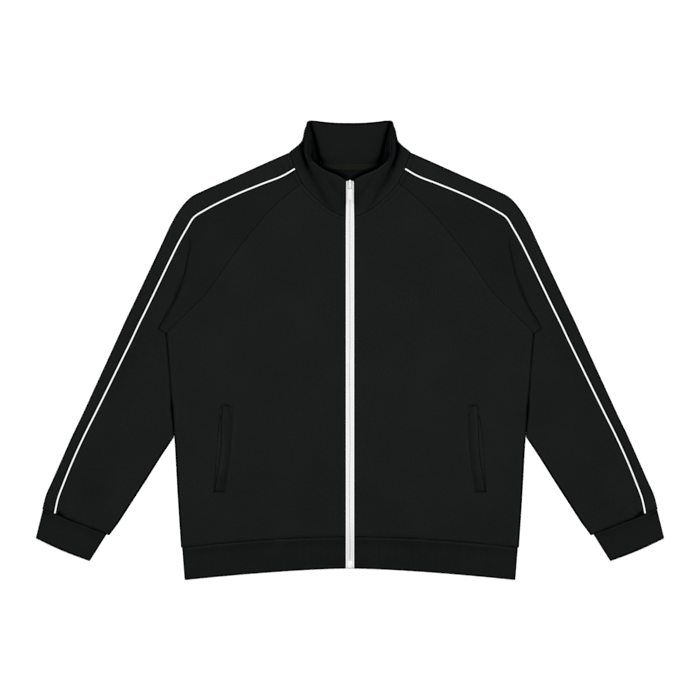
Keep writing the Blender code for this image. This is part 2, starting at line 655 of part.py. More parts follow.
def pull_outline():
    """The pull tab in plan, its bar on the joint's axis at y = 0 and its end towards -y."""
    neck, wide = PULL_NECK_WIDTH / 2, PULL_WIDTH / 2
    top, end = PULL_BAR / 2, -PULL_LENGTH
    left = [(-neck + 1.4, top), (-neck + 0.4, top - 0.4), (-neck, top - 1.4), (-neck, -8.5), (-wide, -11.5),
            (-wide, end + 1.6), (-wide + 0.5, end + 0.5), (-wide + 1.6, end)]
    return left + [(-x, y) for x, y in reversed(left)]


def build_zip(line, collection, joined, white):
    """The zip: two tapes, the box at the bottom, and the slider with its pull tab at the top."""
    pair("zip_tape", zip_tape_grid(line), TAPE, collection, white)
    box = block("zip_box", ZIP_BOX_SIZE, 0.5, collection, white)
    box.location = (0, (HEM_BOTTOM_Y + 1 + ZIP_BOX_SIZE[1] / 2) * MM,
                    (TAPE_MID + TAPE / 2 + SEAM_GAP + ZIP_BOX_SIZE[2] / 2) * MM)

    below, above = line[-3], line[-1]
    slope = math.atan2(above[1] - below[1], above[0] - below[0])
    middle = np.interp(SLIDER_Y, line[:, 0], line[:, 1])
    frame = bpy.data.objects.new("slider_frame", None)
    collection.objects.link(frame)
    seat_y = SLIDER_Y - math.sin(slope) * TAPE / 2
    seat_z = middle + math.cos(slope) * TAPE / 2
    frame.location = (0, seat_y * MM, seat_z * MM)
    frame.rotation_euler = (slope, 0, 0)
    build_slider(frame, collection, joined, white)

    hole_y = -PULL_BAR / 2 - PULL_HOLE[1] / 2 + PULL_BAR / 2
    hole = rounded_outline(PULL_HOLE[0], PULL_HOLE[1] - PULL_BAR / 2, 0.9, hole_y)
    pull = flat_plate("zip_pull", [pull_outline(), hole], PULL_THICKNESS, collection, white, frame)
    pull.location = (0, 0, (SEAM_GAP + SLIDER_SIZE[2] + PIVOT_HEIGHT) * MM)
    pull.rotation_euler = (PULL_DROOP, 0, 0)


def main():
    for obj in list(bpy.data.objects):
        bpy.data.objects.remove(obj)
    jacket = bpy.data.collections.new("track_jacket")
    joined = bpy.data.collections.new("joined_shapes")
    for collection in (jacket, joined):
        bpy.context.scene.collection.children.link(collection)
    black = (BLACK, 0.9)
    olive = (OLIVE, 0.85)
    white = (WHITE, 0.6)

    guides, seam = build_body(jacket, black)
    build_piping(guides, jacket, white)
    collar = build_bands(seam, jacket, black, olive)
    pair("pocket_welt", welt_grid(), WELT, jacket, black)
    build_zip(zip_line(collar), jacket, joined, white)


main()
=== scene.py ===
"""The looks of a zipped track jacket that lies flat on its back.

Every cloth piece is a thin shell on its solid's form: a fine grid through the middle of the cloth, cut from the
same guide lines as the solid, then creased and puckered by named folds, and given its thickness. The trims are
the piping, the zip and the stitching. Sizes in the tables are in millimetres, and properties are in metres.
Left is the wearer's left, at +X, and the tables hold that half.
"""

import json
import math
from collections import namedtuple

import bmesh
import bpy
import numpy as np
from mathutils import Matrix, Vector, noise
from mathutils.bvhtree import BVHTree

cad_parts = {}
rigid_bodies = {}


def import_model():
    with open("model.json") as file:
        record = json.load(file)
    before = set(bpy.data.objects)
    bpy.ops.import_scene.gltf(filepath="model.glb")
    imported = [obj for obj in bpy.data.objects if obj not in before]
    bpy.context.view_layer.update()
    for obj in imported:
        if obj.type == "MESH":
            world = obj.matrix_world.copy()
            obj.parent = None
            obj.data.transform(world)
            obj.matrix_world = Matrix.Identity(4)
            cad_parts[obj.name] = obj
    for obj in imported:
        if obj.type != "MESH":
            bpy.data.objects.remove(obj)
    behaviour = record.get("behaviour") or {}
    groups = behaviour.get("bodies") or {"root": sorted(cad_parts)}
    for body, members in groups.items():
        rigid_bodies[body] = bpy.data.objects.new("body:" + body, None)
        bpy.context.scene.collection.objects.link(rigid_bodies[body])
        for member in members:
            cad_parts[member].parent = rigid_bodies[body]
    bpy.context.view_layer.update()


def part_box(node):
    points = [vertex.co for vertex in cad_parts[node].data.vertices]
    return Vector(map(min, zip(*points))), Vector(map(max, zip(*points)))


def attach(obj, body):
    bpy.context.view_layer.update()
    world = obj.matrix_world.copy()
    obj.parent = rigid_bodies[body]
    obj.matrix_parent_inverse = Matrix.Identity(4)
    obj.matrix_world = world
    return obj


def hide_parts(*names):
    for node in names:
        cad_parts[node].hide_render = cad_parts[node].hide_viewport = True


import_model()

bl_info = {
    "name": "Track jacket",
    "version": (1, 0, 0),
    "blender": (4, 5, 0),
    "location": "View3D > Sidebar > Jacket",
    "description": "Sews a zipped track jacket, laid flat, around its fixed frame",
    "category": "Object",
}

MM = 0.001
GARMENT, PULL = "garment", "pull_tab"


def solid_box(node):
    """The lowest and highest corner of a solid, in millimetres."""
    return [np.array(corner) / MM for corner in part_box(node)]


# The gap between two layers that are sewn together
SEAM_GAP = 0.3

# Sizes that the frame gives. A name that ends in MID is the height of the middle of a layer.
CLOTH = solid_box("back")[1][2]
ZIP_EDGE = solid_box("front_left")[0][0]
TOP_MID = solid_box("pocket_welt_left")[0][2] - SEAM_GAP - CLOTH / 2

# Sizes of the cloth: how thick its layers are, where they lie, and how far in the top one rolls down to its seams
BAND = 2.6
NECK_TAPE = 1.0
WELT = 1.2
FLOOR_MID = CLOTH / 2
SEAM_MID = CLOTH + SEAM_GAP + CLOTH / 2
BAND_FLOOR_MID = BAND / 2
BAND_TOP_MID = 4.9
BAND_RADIUS = (BAND_TOP_MID - BAND_FLOOR_MID + BAND) / 2
EDGE_ROLL = 4.5
TOPSTITCH_AT = 6.4

# Cells of the grids: the usual one, the collar's, those of layers that are hidden, and the places close to a rim
CELL = 3.6
COLLAR_CELL = 1.6
HIDDEN_CELL = 9.0
RIM_PLACES = (0.0, 0.2, 0.5, 0.9, 1.5, 2.3, 3.3, 4.3, 5.0, 5.5, 6.0, 7.0, 9.0)

# How dark the painted shade is where the cloth turns under at an outer edge, and how far in from it
TURNED_EDGE = (0.97, 3.1)

# The wearer's sides, with the sign of x on each
SIDES = (("left", 1), ("right", -1))

# Body. The hem's seam and its band's lower edge each have a place at the middle, a fall towards the side, and the
# power of that curve.
ARMPIT = (302.4, 27.0)
SIDE_SEAM = [ARMPIT, (299.5, -10.0), (293.4, -92.0), (288.8, -149.0), (283.6, -240.0), (278.0, -325.6)]
HEM_SEAM_HALF = 278.0
HEM_BAND_HALF = 276.8
HEM_BOTTOM_HALF = 272.6
HEM_SEAM_Y = -308.0
HEM_SEAM_DROP = 17.9
HEM_SEAM_CURVE = 1.9
HEM_BOTTOM_Y = -360.2
HEM_BOTTOM_DROP = 19.6
HEM_BOTTOM_CURVE = 1.5
NECK_SEAM = [(ZIP_EDGE, 220.1), (18.0, 223.6), (30.0, 229.3), (42.0, 237.7), (55.0, 249.3), (67.5, 261.5),
             (79.5, 275.5)]
BACK_NECK_Y = 308.0
BACK_NECK_CURVE = 3.5

# Sleeve: one row for each section from the neck to the cuff, as the sleeve's solids have them. The pleat is the
# soft fold of spare cloth above the armpit, with its height, and the crown is how much the top layer rounds up.
SleeveRow = namedtuple("SleeveRow", "fold piping pleat seam back pleat_height crown")
SLEEVE = [
    SleeveRow((99.7, 325.7), (90.8, 298.9), (84.5, 286.5), (79.5, 275.5), (79.0, 316.5), 0.0, 0.0),
    SleeveRow((128.7, 313.0), (109.0, 288.2), (108.5, 270.5), (108.0, 252.8), (107.0, 286.0), 0.0, 0.0),
    SleeveRow((165.0, 296.7), (145.0, 273.9), (142.0, 249.0), (138.0, 224.0), (145.0, 242.5), 0.0, 0.0),
    SleeveRow((203.0, 279.7), (181.0, 259.3), (178.0, 226.0), (166.0, 191.0), (181.5, 196.5), 0.0, 0.3),
    SleeveRow((239.0, 264.0), (215.0, 243.6), (210.5, 206.0), (187.5, 163.0), (211.0, 160.0), 0.0, 0.6),
    SleeveRow((262.5, 252.0), (240.4, 230.0), (233.5, 196.5), (206.5, 137.5), (232.5, 132.0), 0.0, 0.9),
    SleeveRow((281.0, 231.5), (257.2, 219.0), (250.0, 185.5), (223.6, 111.8), (251.0, 107.5), 0.0, 1.2),
    SleeveRow((295.4, 207.0), (269.0, 200.5), (262.5, 170.0), (242.0, 88.5), (264.0, 89.5), 1.0, 1.5),
    SleeveRow((308.5, 179.0), (280.5, 180.5), (267.5, 145.0), (263.5, 67.5), (277.5, 71.0), 2.4, 1.8),
    SleeveRow((323.5, 146.8), (296.0, 149.5), (274.5, 115.5), (283.0, 48.0), (288.5, 53.5), 3.2, 2.1),
    SleeveRow((340.5, 110.8), (316.5, 107.0), (289.5, 77.5), (294.8, 36.2), (297.0, 38.5), 3.6, 2.4),
    SleeveRow((361.5, 66.5), (338.0, 62.5), (312.0, 40.0), ARMPIT, ARMPIT, 3.2, 2.6),
    SleeveRow((369.0, 51.0), (346.0, 46.5), (317.0, 31.0), (302.4, 19.5), (302.4, 19.5), 0.0, 2.7),
    SleeveRow((382.2, 22.0), (360.2, 16.5), (335.0, 5.0), (300.5, -5.0), (300.5, -5.0), 0.0, 2.8),
    SleeveRow((401.6, -20.5), (379.6, -23.0), (350.0, -36.0), (297.2, -46.0), (297.2, -46.0), 0.0, 2.9),
    SleeveRow((421.2, -63.0), (400.2, -65.0), (362.0, -79.0), (294.0, -92.0), (294.0, -92.0), 0.0, 3.0),
    SleeveRow((440.0, -104.0), (420.1, -105.0), (376.0, -120.0), (290.3, -143.0), (290.3, -143.0), 0.0, 3.0),
    SleeveRow((458.0, -141.5), (438.8, -142.5), (394.5, -160.0), (311.4, -174.5), (311.4, -174.5), 0.0, 2.8),
    SleeveRow((474.6, -179.0), (456.0, -180.0), (416.0, -196.0), (334.6, -211.5), (334.6, -211.5), 0.0, 2.4),
    SleeveRow((490.5, -215.0), (471.5, -218.0), (435.5, -232.0), (358.2, -248.0), (358.2, -248.0), 0.0, 1.8),
    SleeveRow((501.9, -241.0), (481.8, -246.0), (448.5, -259.5), (381.5, -284.0), (381.5, -284.0), 0.0, 1.0),
    SleeveRow((507.2, -262.1), (486.9, -270.0), (454.5, -282.9), (397.6, -305.4), (397.6, -305.4), 0.0, 0.2),
]
# The row at the armpit, and the last one before the underarm seam runs straight from row to row
ARMPIT_ROW = 11
UNDERARM_ROW = 15
# About how far apart the guide lines lie, which sets how many cells fit between them
PIPING_TO_PLEAT = 34.0
PLEAT_TO_SEAM = 70.0
PIPING_TO_FOLD = 22.0
FOLD_TO_BACK_SEAM = 110.0
# The piping's thickness, and how far its middle lies above the middle of the cloth
PIPING = 3.0
PIPING_PROUD = 0.35
# How deep and wide the valley at a raglan seam is, and how far the cloth swells beside it
RAGLAN_SEAM = (0.6, 1.3, 0.25)

# Cuff: the two ends of its seam with the sleeve and of its open edge, how far that edge bows out, and how dark the
# painted shade along the seam is, by the distance from the arm's folded edge
CUFF_SEAM = ((506.1, -261.6), (400.6, -302.8))
CUFF_EDGE = ((518.0, -310.4), (429.2, -348.1))
CUFF_DEPTH = 50.0
CUFF_BOW = 1.7
CUFF_SEAM_SHADE = ([0.0, 16.0, 21.0, 40.0, 62.0, 80.0], [0.45, 0.45, 1.3, 1.2, 0.9, 0.8])

# Collar: one row for each upright section, from the zip round to the middle of the back, as its solid has them
CollarRow = namedtuple("CollarRow", "share waist top")
COLLAR = [
    CollarRow(0.00, (ZIP_EDGE, 246.0, 6.6), (ZIP_EDGE, 280.5, 13.5)),
    CollarRow(0.10, (25.5, 252.0, 6.2), (21.5, 288.2, 16.5)),
    CollarRow(0.21, (46.5, 266.5, 5.9), (39.5, 295.4, 21.0)),
    CollarRow(0.31, (60.0, 280.0, 5.8), (52.8, 303.6, 25.0)),
    CollarRow(0.39, (64.5, 296.0, 6.0), (63.0, 313.8, 27.5)),
    CollarRow(0.46, (63.5, 312.5, 6.6), (72.6, 326.5, 28.3)),
    CollarRow(0.52, (62.0, 329.0, 7.0), (74.6, 341.0, 27.5)),
    CollarRow(0.555, (65.0, 343.0, 7.2), (74.6, 354.0, 24.5)),
    CollarRow(0.576, (75.4, 345.2, 7.4), (73.6, 363.0, 19.5)),
    CollarRow(0.587, (78.8, 343.5, 4.8), (72.0, 368.0, 16.0)),
    CollarRow(0.599, (77.6, 342.6, 1.8), (70.6, 372.5, 11.5)),
    CollarRow(0.63, (75.0, 342.8, BAND / 2), (67.9, 377.6, 5.8)),
    CollarRow(0.69, (65.0, 342.0, BAND / 2), (61.0, 378.4, 2.0)),
    CollarRow(0.78, (46.0, 341.0, BAND / 2), (46.0, 376.8, BAND / 2)),
    CollarRow(0.89, (22.0, 340.3, BAND / 2), (22.0, 374.8, BAND / 2)),
    CollarRow(1.00, (0.0, 340.0, BAND / 2), (0.0, 374.5, BAND / 2)),
]
COLLAR_HEIGHT = 60.0
# Shares of the collar's length: where its side starts and stops rolling over, where what shows of it is no longer its
# outer face, and where the turn to its inner face is complete
COLLAR_ROLL = (0.30, 0.615)
COLLAR_FRONT_END = 0.49
COLLAR_BACK_START = 0.575
# The height on the plan above which the neck is open
NECK_OPEN_Y = 308.0
# How far the rolled edge of the collar's side hangs below its top, beyond the middle of its thickness
LIP_DROP = 1.2

# The tape over the back neck seam: how far below the seam its two edges lie, and how far short of the collar's side
# its ends are
NECK_TAPE_DROP = 0.1
NECK_TAPE_WIDTH = 11.0
NECK_TAPE_SHORT = 11.0

# Pocket welts: their mouth and their sewn edge, from top to bottom
WELT_LENGTH = 144.0
WELT_WIDTH = 18.0
WELT_MOUTH = [(210.0, -92.2), (212.0, -124.0), (212.6, -157.0), (216.2, -190.0), (220.6, -214.0), (223.2, -233.0)]
WELT_SEAM = [(193.4, -95.4), (193.7, -117.0), (195.2, -142.0), (198.2, -179.0), (203.0, -211.0), (206.5, -233.0)]

# Where the cloth's cells are finer, down the side seam and out from the zip, for the lines round a pocket
POCKET_ROWS = (119.5, 260.5)
POCKET_COLUMNS = (184.0, 189.0, 194.0, 203.0, 208.0, 213.0, 218.0, 223.0)

# Zip: its tapes, and the place where they start up the collar. The coil under them raises a ridge and leaves a groove
# beside it, each as (place, width, height), and its loops are so long, wide and thick, and lie so far out and down. The
# slit between the tapes wanders a little.
TAPE = 1.2
TAPE_MID = 4.4
ZIP_TOP_Y = 278.3
ZIP_RISE_Y = 240.0
ZIP_TOP_ROUND = 0.8
ZIP_BOTTOM_Y = -360.0
COIL_RIDGE = (2.1, 1.7, 0.45)
COIL_GROOVE = (4.1, 0.35, 0.25)
COIL_LOOP = {"Along": 0.9 * MM, "Across": 2.6 * MM, "Thickness": 0.9 * MM}
COIL_OUT = 1.3
COIL_DOWN = 1.2
SLIT_WANDER = 0.35

# Zip slider, on the slope of the collar: the place on the tapes where it sits, as (y, z), its tilt, its rim's width and
# height, its bridge's width, length, height and wall, and the painted shadow round the bridge as (y, radius, width,
# darkness)
SLIDER_SEAT = (271.87, 11.8)
SLIDER_TILT = math.radians(12.74)
SLIDER_THICKNESS = 2.0
SLIDER_OUTLINE = [(0.8, 8.7), (1.5, 8.2), (2.0, 7.2), (2.6, 6.2), (3.4, 5.4), (4.5, 3.9), (4.7, 2.0), (4.5, -0.5),
                  (3.9, -3.2), (3.7, -5.4), (3.0, -6.3)]
SLIDER_RIM = (0.9, 0.35)
BRIDGE = (4.0, 9.8, 3.4, 1.1)
BRIDGE_SUNK = 0.6
BRIDGE_GAP_SHADOW = (266.8, 3.0, 0.9, 0.6)

# Pull tab, from the joint's axis at y = 0 to its end towards -y
PIVOT_HEIGHT = 1.15
PULL_DROOP = math.radians(2.0)
PULL_THICKNESS = 1.5
PULL_OUTLINE = [(2.3, 0.6), (3.3, 0.3), (3.85, -0.5), (3.9, -1.6), (3.9, -8.4), (4.2, -9.8), (4.7, -11.2), (4.8, -12.6),
                (4.8, -23.2), (4.65, -24.2), (4.1, -24.8), (3.2, -25.0)]
PULL_HOLE = (5.8, 5.9)

# Box at the bottom of the zip: its size, its place as (y, z), and its eye and the pin in it, each as the width, length,
# corner radius and centre of an outline
ZIP_BOX = (8.6, 12.0, 2.2)
ZIP_BOX_AT = (-353.0, 6.4)
ZIP_BOX_EYE = (1.2, 1.6, 0.5, (2.6, -3.8))
ZIP_PIN = (1.7, 9.6, 0.8, (-1.9, 0.0))

# Stage, in metres: half the floor's width, how far it lies under the jacket, and the lamp's width and height
FLOOR_REACH = 5.0
FLOOR_DROP = 0.0004
LAMP_WIDTH = 1.2
LAMP_HEIGHT = 3.2


# Lines and grids -----------------------------------------------------------------------------------------


def spline(points, at):
    """A smooth curve through the points, read at places that count in points."""
    p = np.asarray(points, float)
    at = np.clip(np.asarray(at, float), 0, len(p) - 1)
    step = np.linalg.norm(np.diff(p, axis=0), axis=1).clip(1e-6)[:, None]
    way = np.diff(p, axis=0) / step
    inner = (way[:-1] * step[1:] + way[1:] * step[:-1]) / (step[:-1] + step[1:])
    slope = np.concatenate([way[:1], inner, way[-1:]])
    i = np.minimum(at.astype(int), len(p) - 2)
    t = (at - i)[:, None]
    start = p[i] * (2 * t**3 - 3 * t**2 + 1) + slope[i] * step[i] * (t**3 - 2 * t**2 + t)
    return start + p[i + 1] * (3 * t**2 - 2 * t**3) + slope[i + 1] * step[i] * (t**3 - t**2)


def travelled(line):
    """The distance along a polyline, or down each column of a grid, at each of its points."""
    steps = np.linalg.norm(np.diff(line, axis=0), axis=-1)
    return np.concatenate([np.zeros_like(steps[:1]), np.cumsum(steps, axis=0)])


def evenly(line, shares):
    """Points of a polyline at these shares of its length."""
    line = np.asarray(line, float)
    along = travelled(line)
    at = np.asarray(shares) * along[-1]
    return np.stack([np.interp(at, along, line[:, k]) for k in range(line.shape[1])], axis=1)


def even_spline(points, shares):
    return evenly(spline(points, np.linspace(0, len(points) - 1, 600)), shares)


def between(a, b, shares):
    """Points on the straight line from a to b."""
    a, b = np.asarray(a, float), np.asarray(b, float)
    return a + (b - a) * np.asarray(shares, float)[:, None]


def with_height(points, height):
    points = np.asarray(points, float)
    heights = np.broadcast_to(np.asarray(height, float), points.shape[:-1])
    return np.concatenate([points, heights[..., None]], axis=-1)


def distance_to(points, line):
    """How far each plan point is from a polyline."""
    points, line = np.asarray(points, float), np.asarray(line, float)
    nearest = np.full(points.shape[:-1], np.inf)
    for start, end in zip(line[:-1], line[1:]):
        way = end - start
        share = ((points - start) @ way / (way @ way)).clip(0, 1)
        nearest = np.minimum(nearest, np.linalg.norm(points - start - share[..., None] * way, axis=-1))
    return nearest


def places(length, cell, rims=(True, True)):
    """Shares along a length, one a cell, and close together at each rim that is asked for."""
    near = np.array(RIM_PLACES) * min(1, length / (3 * RIM_PLACES[-1]))
    first = near if rims[0] else near[:1]
    last = (length - (near if rims[1] else near[:1]))[::-1]
    count = max(1, round((last[0] - first[-1]) / cell))
    middle = np.linspace(first[-1], last[0], count + 1)[1:-1]
    return np.concatenate([first, middle, last]) / length


def finer(shares, length, near, reach=2.6, cell=0.75):
    """The same shares with more of them close to some distances along the length."""
    more = [np.arange(at - reach, at + reach, cell) / length for at in near]
    more = np.concatenate([shares, *more])
    more = np.unique(np.round(more[(more >= 0) & (more <= 1)], 5))
    kept = np.concatenate([[True], np.diff(more) * length > 0.12])
    kept[-1] = True
    return more[kept]


def bell(distance, width):
    return np.exp(-((distance / width) ** 2))


def smooth_step(value):
    value = np.clip(value, 0, 1)
    return value * value * (3 - 2 * value)


def on_side(points, sign):
    """Points of the wearer's left, or of the right with a sign of -1."""
    return points * np.array([sign] + [1.0] * (points.shape[-1] - 1))


def right_twin(grid):
    """The same grid on the wearer's right, with its top still up."""
    return on_side(grid[:, ::-1], -1.0)


def twin(surface):
    """A surface and its shade, on the wearer's right."""
    grid, shade = surface
    return right_twin(grid), shade[:, ::-1]


def both_halves(surface):
    """A surface whose last column is at the middle, joined to its twin."""
    return [np.concatenate([left, right[:, 1:]], axis=1) for left, right in zip(surface, twin(surface))]


# Guide lines of the cut ----------------------------------------------------------------------------------

FINE = np.linspace(0, 1, 120)
NECK_LINE = even_spline(NECK_SEAM, FINE)
SIDE_LINE = even_spline(SIDE_SEAM, FINE)
UNDERARM_LINE = np.concatenate([
    spline([row.seam for row in SLEEVE[ARMPIT_ROW:]], np.linspace(0, UNDERARM_ROW - ARMPIT_ROW, 40)),
    [row.seam for row in SLEEVE[UNDERARM_ROW + 1:]],
])
RAGLAN_LINE = spline([row.seam for row in SLEEVE], np.linspace(0, ARMPIT_ROW, 80))
PIPING_LINE = spline([row.piping for row in SLEEVE], np.linspace(0, len(SLEEVE) - 1, 140))
FOLD_LINE = spline([row.fold for row in SLEEVE], np.linspace(0, len(SLEEVE) - 1, 140))


def hem_y(x):
    return HEM_SEAM_Y - HEM_SEAM_DROP * (np.abs(x) / HEM_SEAM_HALF) ** HEM_SEAM_CURVE


def band_y(x, share):
    """The height on the plan of a line across the hem band, at a share of the way from its seam to its fold."""
    bottom = HEM_BOTTOM_Y - HEM_BOTTOM_DROP * (np.abs(x) / HEM_SEAM_HALF) ** HEM_BOTTOM_CURVE
    return hem_y(x) * (1 - share) + bottom * share


def band_half(share):
    """Half the width of the hem band, at the same share."""
    return HEM_BAND_HALF + (HEM_BOTTOM_HALF - HEM_BAND_HALF) * share


def hem_points(x):
    return np.stack([x, hem_y(x)], axis=1)


def back_neck_points(x, drop=0.0):
    """Points of the back neck seam, or of a line that hangs below it."""
    side_x, side_y = SLEEVE[0].back
    y = BACK_NECK_Y + (side_y - BACK_NECK_Y) * (x / side_x) ** BACK_NECK_CURVE
    return np.stack([x, y - drop], axis=1)


def top_height(plan):
    """The middle of the top layer, which rolls down to the bottom one at the side and underarm seams."""
    away = np.minimum(distance_to(plan, SIDE_LINE), distance_to(plan, UNDERARM_LINE))
    roll = np.sqrt(1 - (1 - (away / EDGE_ROLL).clip(0, 1)) ** 2)
    return SEAM_MID + (TOP_MID - SEAM_MID) * roll


# Folds that the cloth lies in -----------------------------------------------------------------------------

# A fold rises (or, with a negative height, sinks) along its line, and its shade is the painted shade that it puts on
# the cloth, a painted highlight where it is negative. Both end softly this far to the line's left and right. A point's
# third number is the fold's strength there, and a fold without them fades at its two ends.
Fold = namedtuple("Fold", "height shade left right line")
# The soft creases of the body
BODY_FOLDS = [
    Fold(0.9, 0, 14, 20, [(285, -5), (262, -22), (236, -30)]),
    Fold(-0.7, 0.03, 10, 14, [(290, -30), (268, -52), (246, -62)]),
    Fold(0.6, 0, 16, 22, [(96, 238), (104, 205), (106, 168)]),
    Fold(-0.5, 0.03, 18, 18, [(150, 196), (136, 150), (128, 96)]),
    Fold(0.7, 0, 20, 26, [(262, -206), (258, -250), (262, -300)]),
    Fold(-0.5, 0.04, 16, 20, [(236, -262), (232, -290), (236, -318)]),
    Fold(0.5, 0, 26, 30, [(70, 120), (84, 10), (78, -110)]),
    Fold(-0.5, 0.0, 24, 30, [(150, -40), (158, -140), (150, -230)]),
    Fold(0.5, 0, 18, 24, [(60, -200), (64, -262), (60, -305)]),
    Fold(0.6, -0.03, 12, 15, [(120, -270), (122, -292), (121, -310)]),
    Fold(0.5, 0.04, 10, 13, [(182, -282), (183, -300), (182, -315)]),
]
# The lines round a pocket: painted shade at its mouth, a painted highlight beside that, painted shade at its two
# ends, and a painted highlight behind its seam
POCKET_FOLDS = [
    Fold(-0.5, 0.7, 0.9, 0.9, [(211.3, -93.5, 0.6), (212.8, -103, 1), (215.8, -124, 0.8), (219.0, -157, 0.45),
                                (221.2, -190, 0.55), (223.0, -214, 1), (223.8, -233, 0.8)]),
    Fold(0.3, -0.14, 1.3, 1.3, [(214.4, -120), (217.6, -157), (219.5, -190), (221.4, -206)]),
    Fold(-0.5, 0.85, 0.9, 0.9, [(210.5, -91.2, 0.4), (206.0, -91.6, 1), (199.3, -92.4, 1), (193.5, -94.0, 1),
                                (190.8, -95.0, 0.5)]),
    Fold(-0.5, 0.6, 1.5, 1.1, [(224.5, -233.0, 1), (214, -233.8, 1), (206, -234.2, 0.7), (204, -234.2, 0)]),
    Fold(0.3, -0.16, 1.2, 2.0, [(191.2, -96), (192.0, -124), (194.0, -157), (198.4, -190), (203, -222)]),
]
# The tuck down to the armpit, with the painted soft shadow beside it and its ridge, and the creases of the arm and
# the shoulder, with their painted shade and highlights
SLEEVE_FOLDS = [
    Fold(-0.4, 0.45, 1.2, 1.0, [(264.7, 194, 0), (264.7, 185, 0.6), (263.0, 172, 1), (263.6, 165, 0.8),
                                (268.3, 146, 0.9), (270.7, 134, 1.35), (272.4, 124, 0.3), (276.9, 112, -0.5),
                                (281.4, 101, -0.6), (286, 92, -0.3), (291, 82, 0)]),
    Fold(0.0, 0.16, 4.2, 4.2, [(273.5, 122, 0), (277.7, 112.2, 0.8), (280.5, 102.3, 1), (286, 90, 0.6), (290, 82, 0)]),
    Fold(-0.6, 0.24, 2.0, 4.5, [(271.0, 138, 0), (277.5, 118, 0.25), (285.0, 99, 0.85), (291.0, 82, 1),
                               (301.0, 62, 0.85), (308.5, 46, 0.6), (315.5, 35, 0.4)]),
    Fold(0.5, -0.12, 4.0, 5.5, [(262.0, 135, 0), (269.5, 110, 0.5), (279.0, 88, 1), (290.5, 66, 0.7), (300, 50, 0)]),
    Fold(-0.4, 0.28, 1.6, 1.2, [(297.5, 68, 0), (303.0, 61, 0.5), (308.5, 47, 0.7), (315.0, 35.5, 0.8)]),
    Fold(-0.6, 0.62, 1.3, 1.2, [(316.0, 35.0, 0.6), (309.0, 31.4, 1), (304.5, 27.5, 1), (303.0, 22.0, 0.9)]),
    Fold(0.6, -0.05, 14, 16, [(236, 214), (226, 196), (212, 186)]),
    Fold(-0.5, 0.05, 16, 18, [(330, 60), (334, 20), (352, -28)]),
    Fold(0.7, -0.04, 14, 16, [(324, 8), (334, -40), (346, -90)]),
    Fold(-0.6, 0.1, 9, 12, [(346, 44), (364, 0), (386, -50), (404, -100)]),
    Fold(0.6, -0.04, 12, 16, [(352, -190), (378, -226), (396, -268)]),
    Fold(-0.6, 0.03, 10, 14, [(404, -200), (424, -240), (436, -276)]),
    Fold(0.5, -0.03, 8, 10, [(452, -212), (462, -244), (466, -268)]),
    Fold(-0.4, 0.09, 4, 5, [(468, -232), (473, -250), (471, -266)]),
    Fold(-0.5, 0.75, 3.0, 3.0, [(485, -262, 0), (481.5, -267, 1), (475, -271, 0.8), (467, -275, 0)]),
    Fold(0.4, -0.07, 8, 10, [(294, 172), (285, 150), (277, 126)]),
    Fold(-0.4, 0.08, 3, 4, [(448, -270, 1), (450, -262, 0.6), (456, -252, 0)]),
    Fold(0.4, -0.03, 8, 10, [(126, 262), (152, 250), (180, 234)]),
    Fold(0.5, -0.05, 9, 10, [(118, 300), (128, 296), (140, 290)]),
    Fold(-0.3, 0.12, 3, 4, [(112, 312), (110, 300), (104, 292)]),
    Fold(-0.3, 0.08, 3, 4, [(124, 306), (121, 296), (114, 288)]),
]
# The fold where the collar's side leans out, the hollows of its front, and the line beside the zip, with their
# painted shade and highlights
COLLAR_FOLDS = [
    Fold(-0.5, 0.45, 5.0, 3.6, [(68.2, 293.7, 0), (66.0, 288.2, 0.7), (62.6, 283.8, 1), (59.8, 280.5, 0.95),
                                (54.5, 273.9, 0.8), (50.3, 267.3, 0.8), (46.2, 260.7, 0.8), (41.3, 247.5, 0.75),
                                (34.7, 239.3, 0.65), (28.1, 231.0, 0.55), (23.1, 224.4, 0.2)]),
    Fold(0.9, -0.06, 5, 5, [(56, 300), (48, 284), (40, 272), (33.5, 261), (29, 246)]),
    Fold(-0.7, 0.2, 4, 4, [(38, 288), (32, 276), (24, 266), (18.5, 258), (16.5, 248)]),
    Fold(0.4, -0.02, 5, 5, [(22, 284), (14, 270), (12, 256)]),
    Fold(-0.3, 0.22, 3.5, 4.0, [(11.5, 272, 0), (12.0, 262, 0.7), (12.5, 250, 1), (12.5, 240, 0.5), (12.0, 228, 0)]),
    Fold(-0.2, 0.28, 0.8, 0.8, [(14.0, 282), (13.4, 262), (13.2, 244), (13.4, 228)]),
]
# The hollow down the outside of the collar's side, where it bulges over the shoulder, sunk a little and darkened
# with painted shadow
CRESCENT = [
    Fold(-0.5, 1.4, 4.8, 4.4, [(77.0, 357.0, 1), (77.4, 344.8, 1.1), (78.0, 333.3, 1), (75.8, 321.8, 1),
                               (73.2, 313.5, 0.95), (71.8, 308.6, 0.8), (70.6, 303.6, 0.68), (69.2, 298.7, 0.52),
                               (67.4, 293.7, 0.38), (65.2, 288.8, 0.3), (61.4, 283.8, 0.15), (57.4, 277.6, 0)]),
]
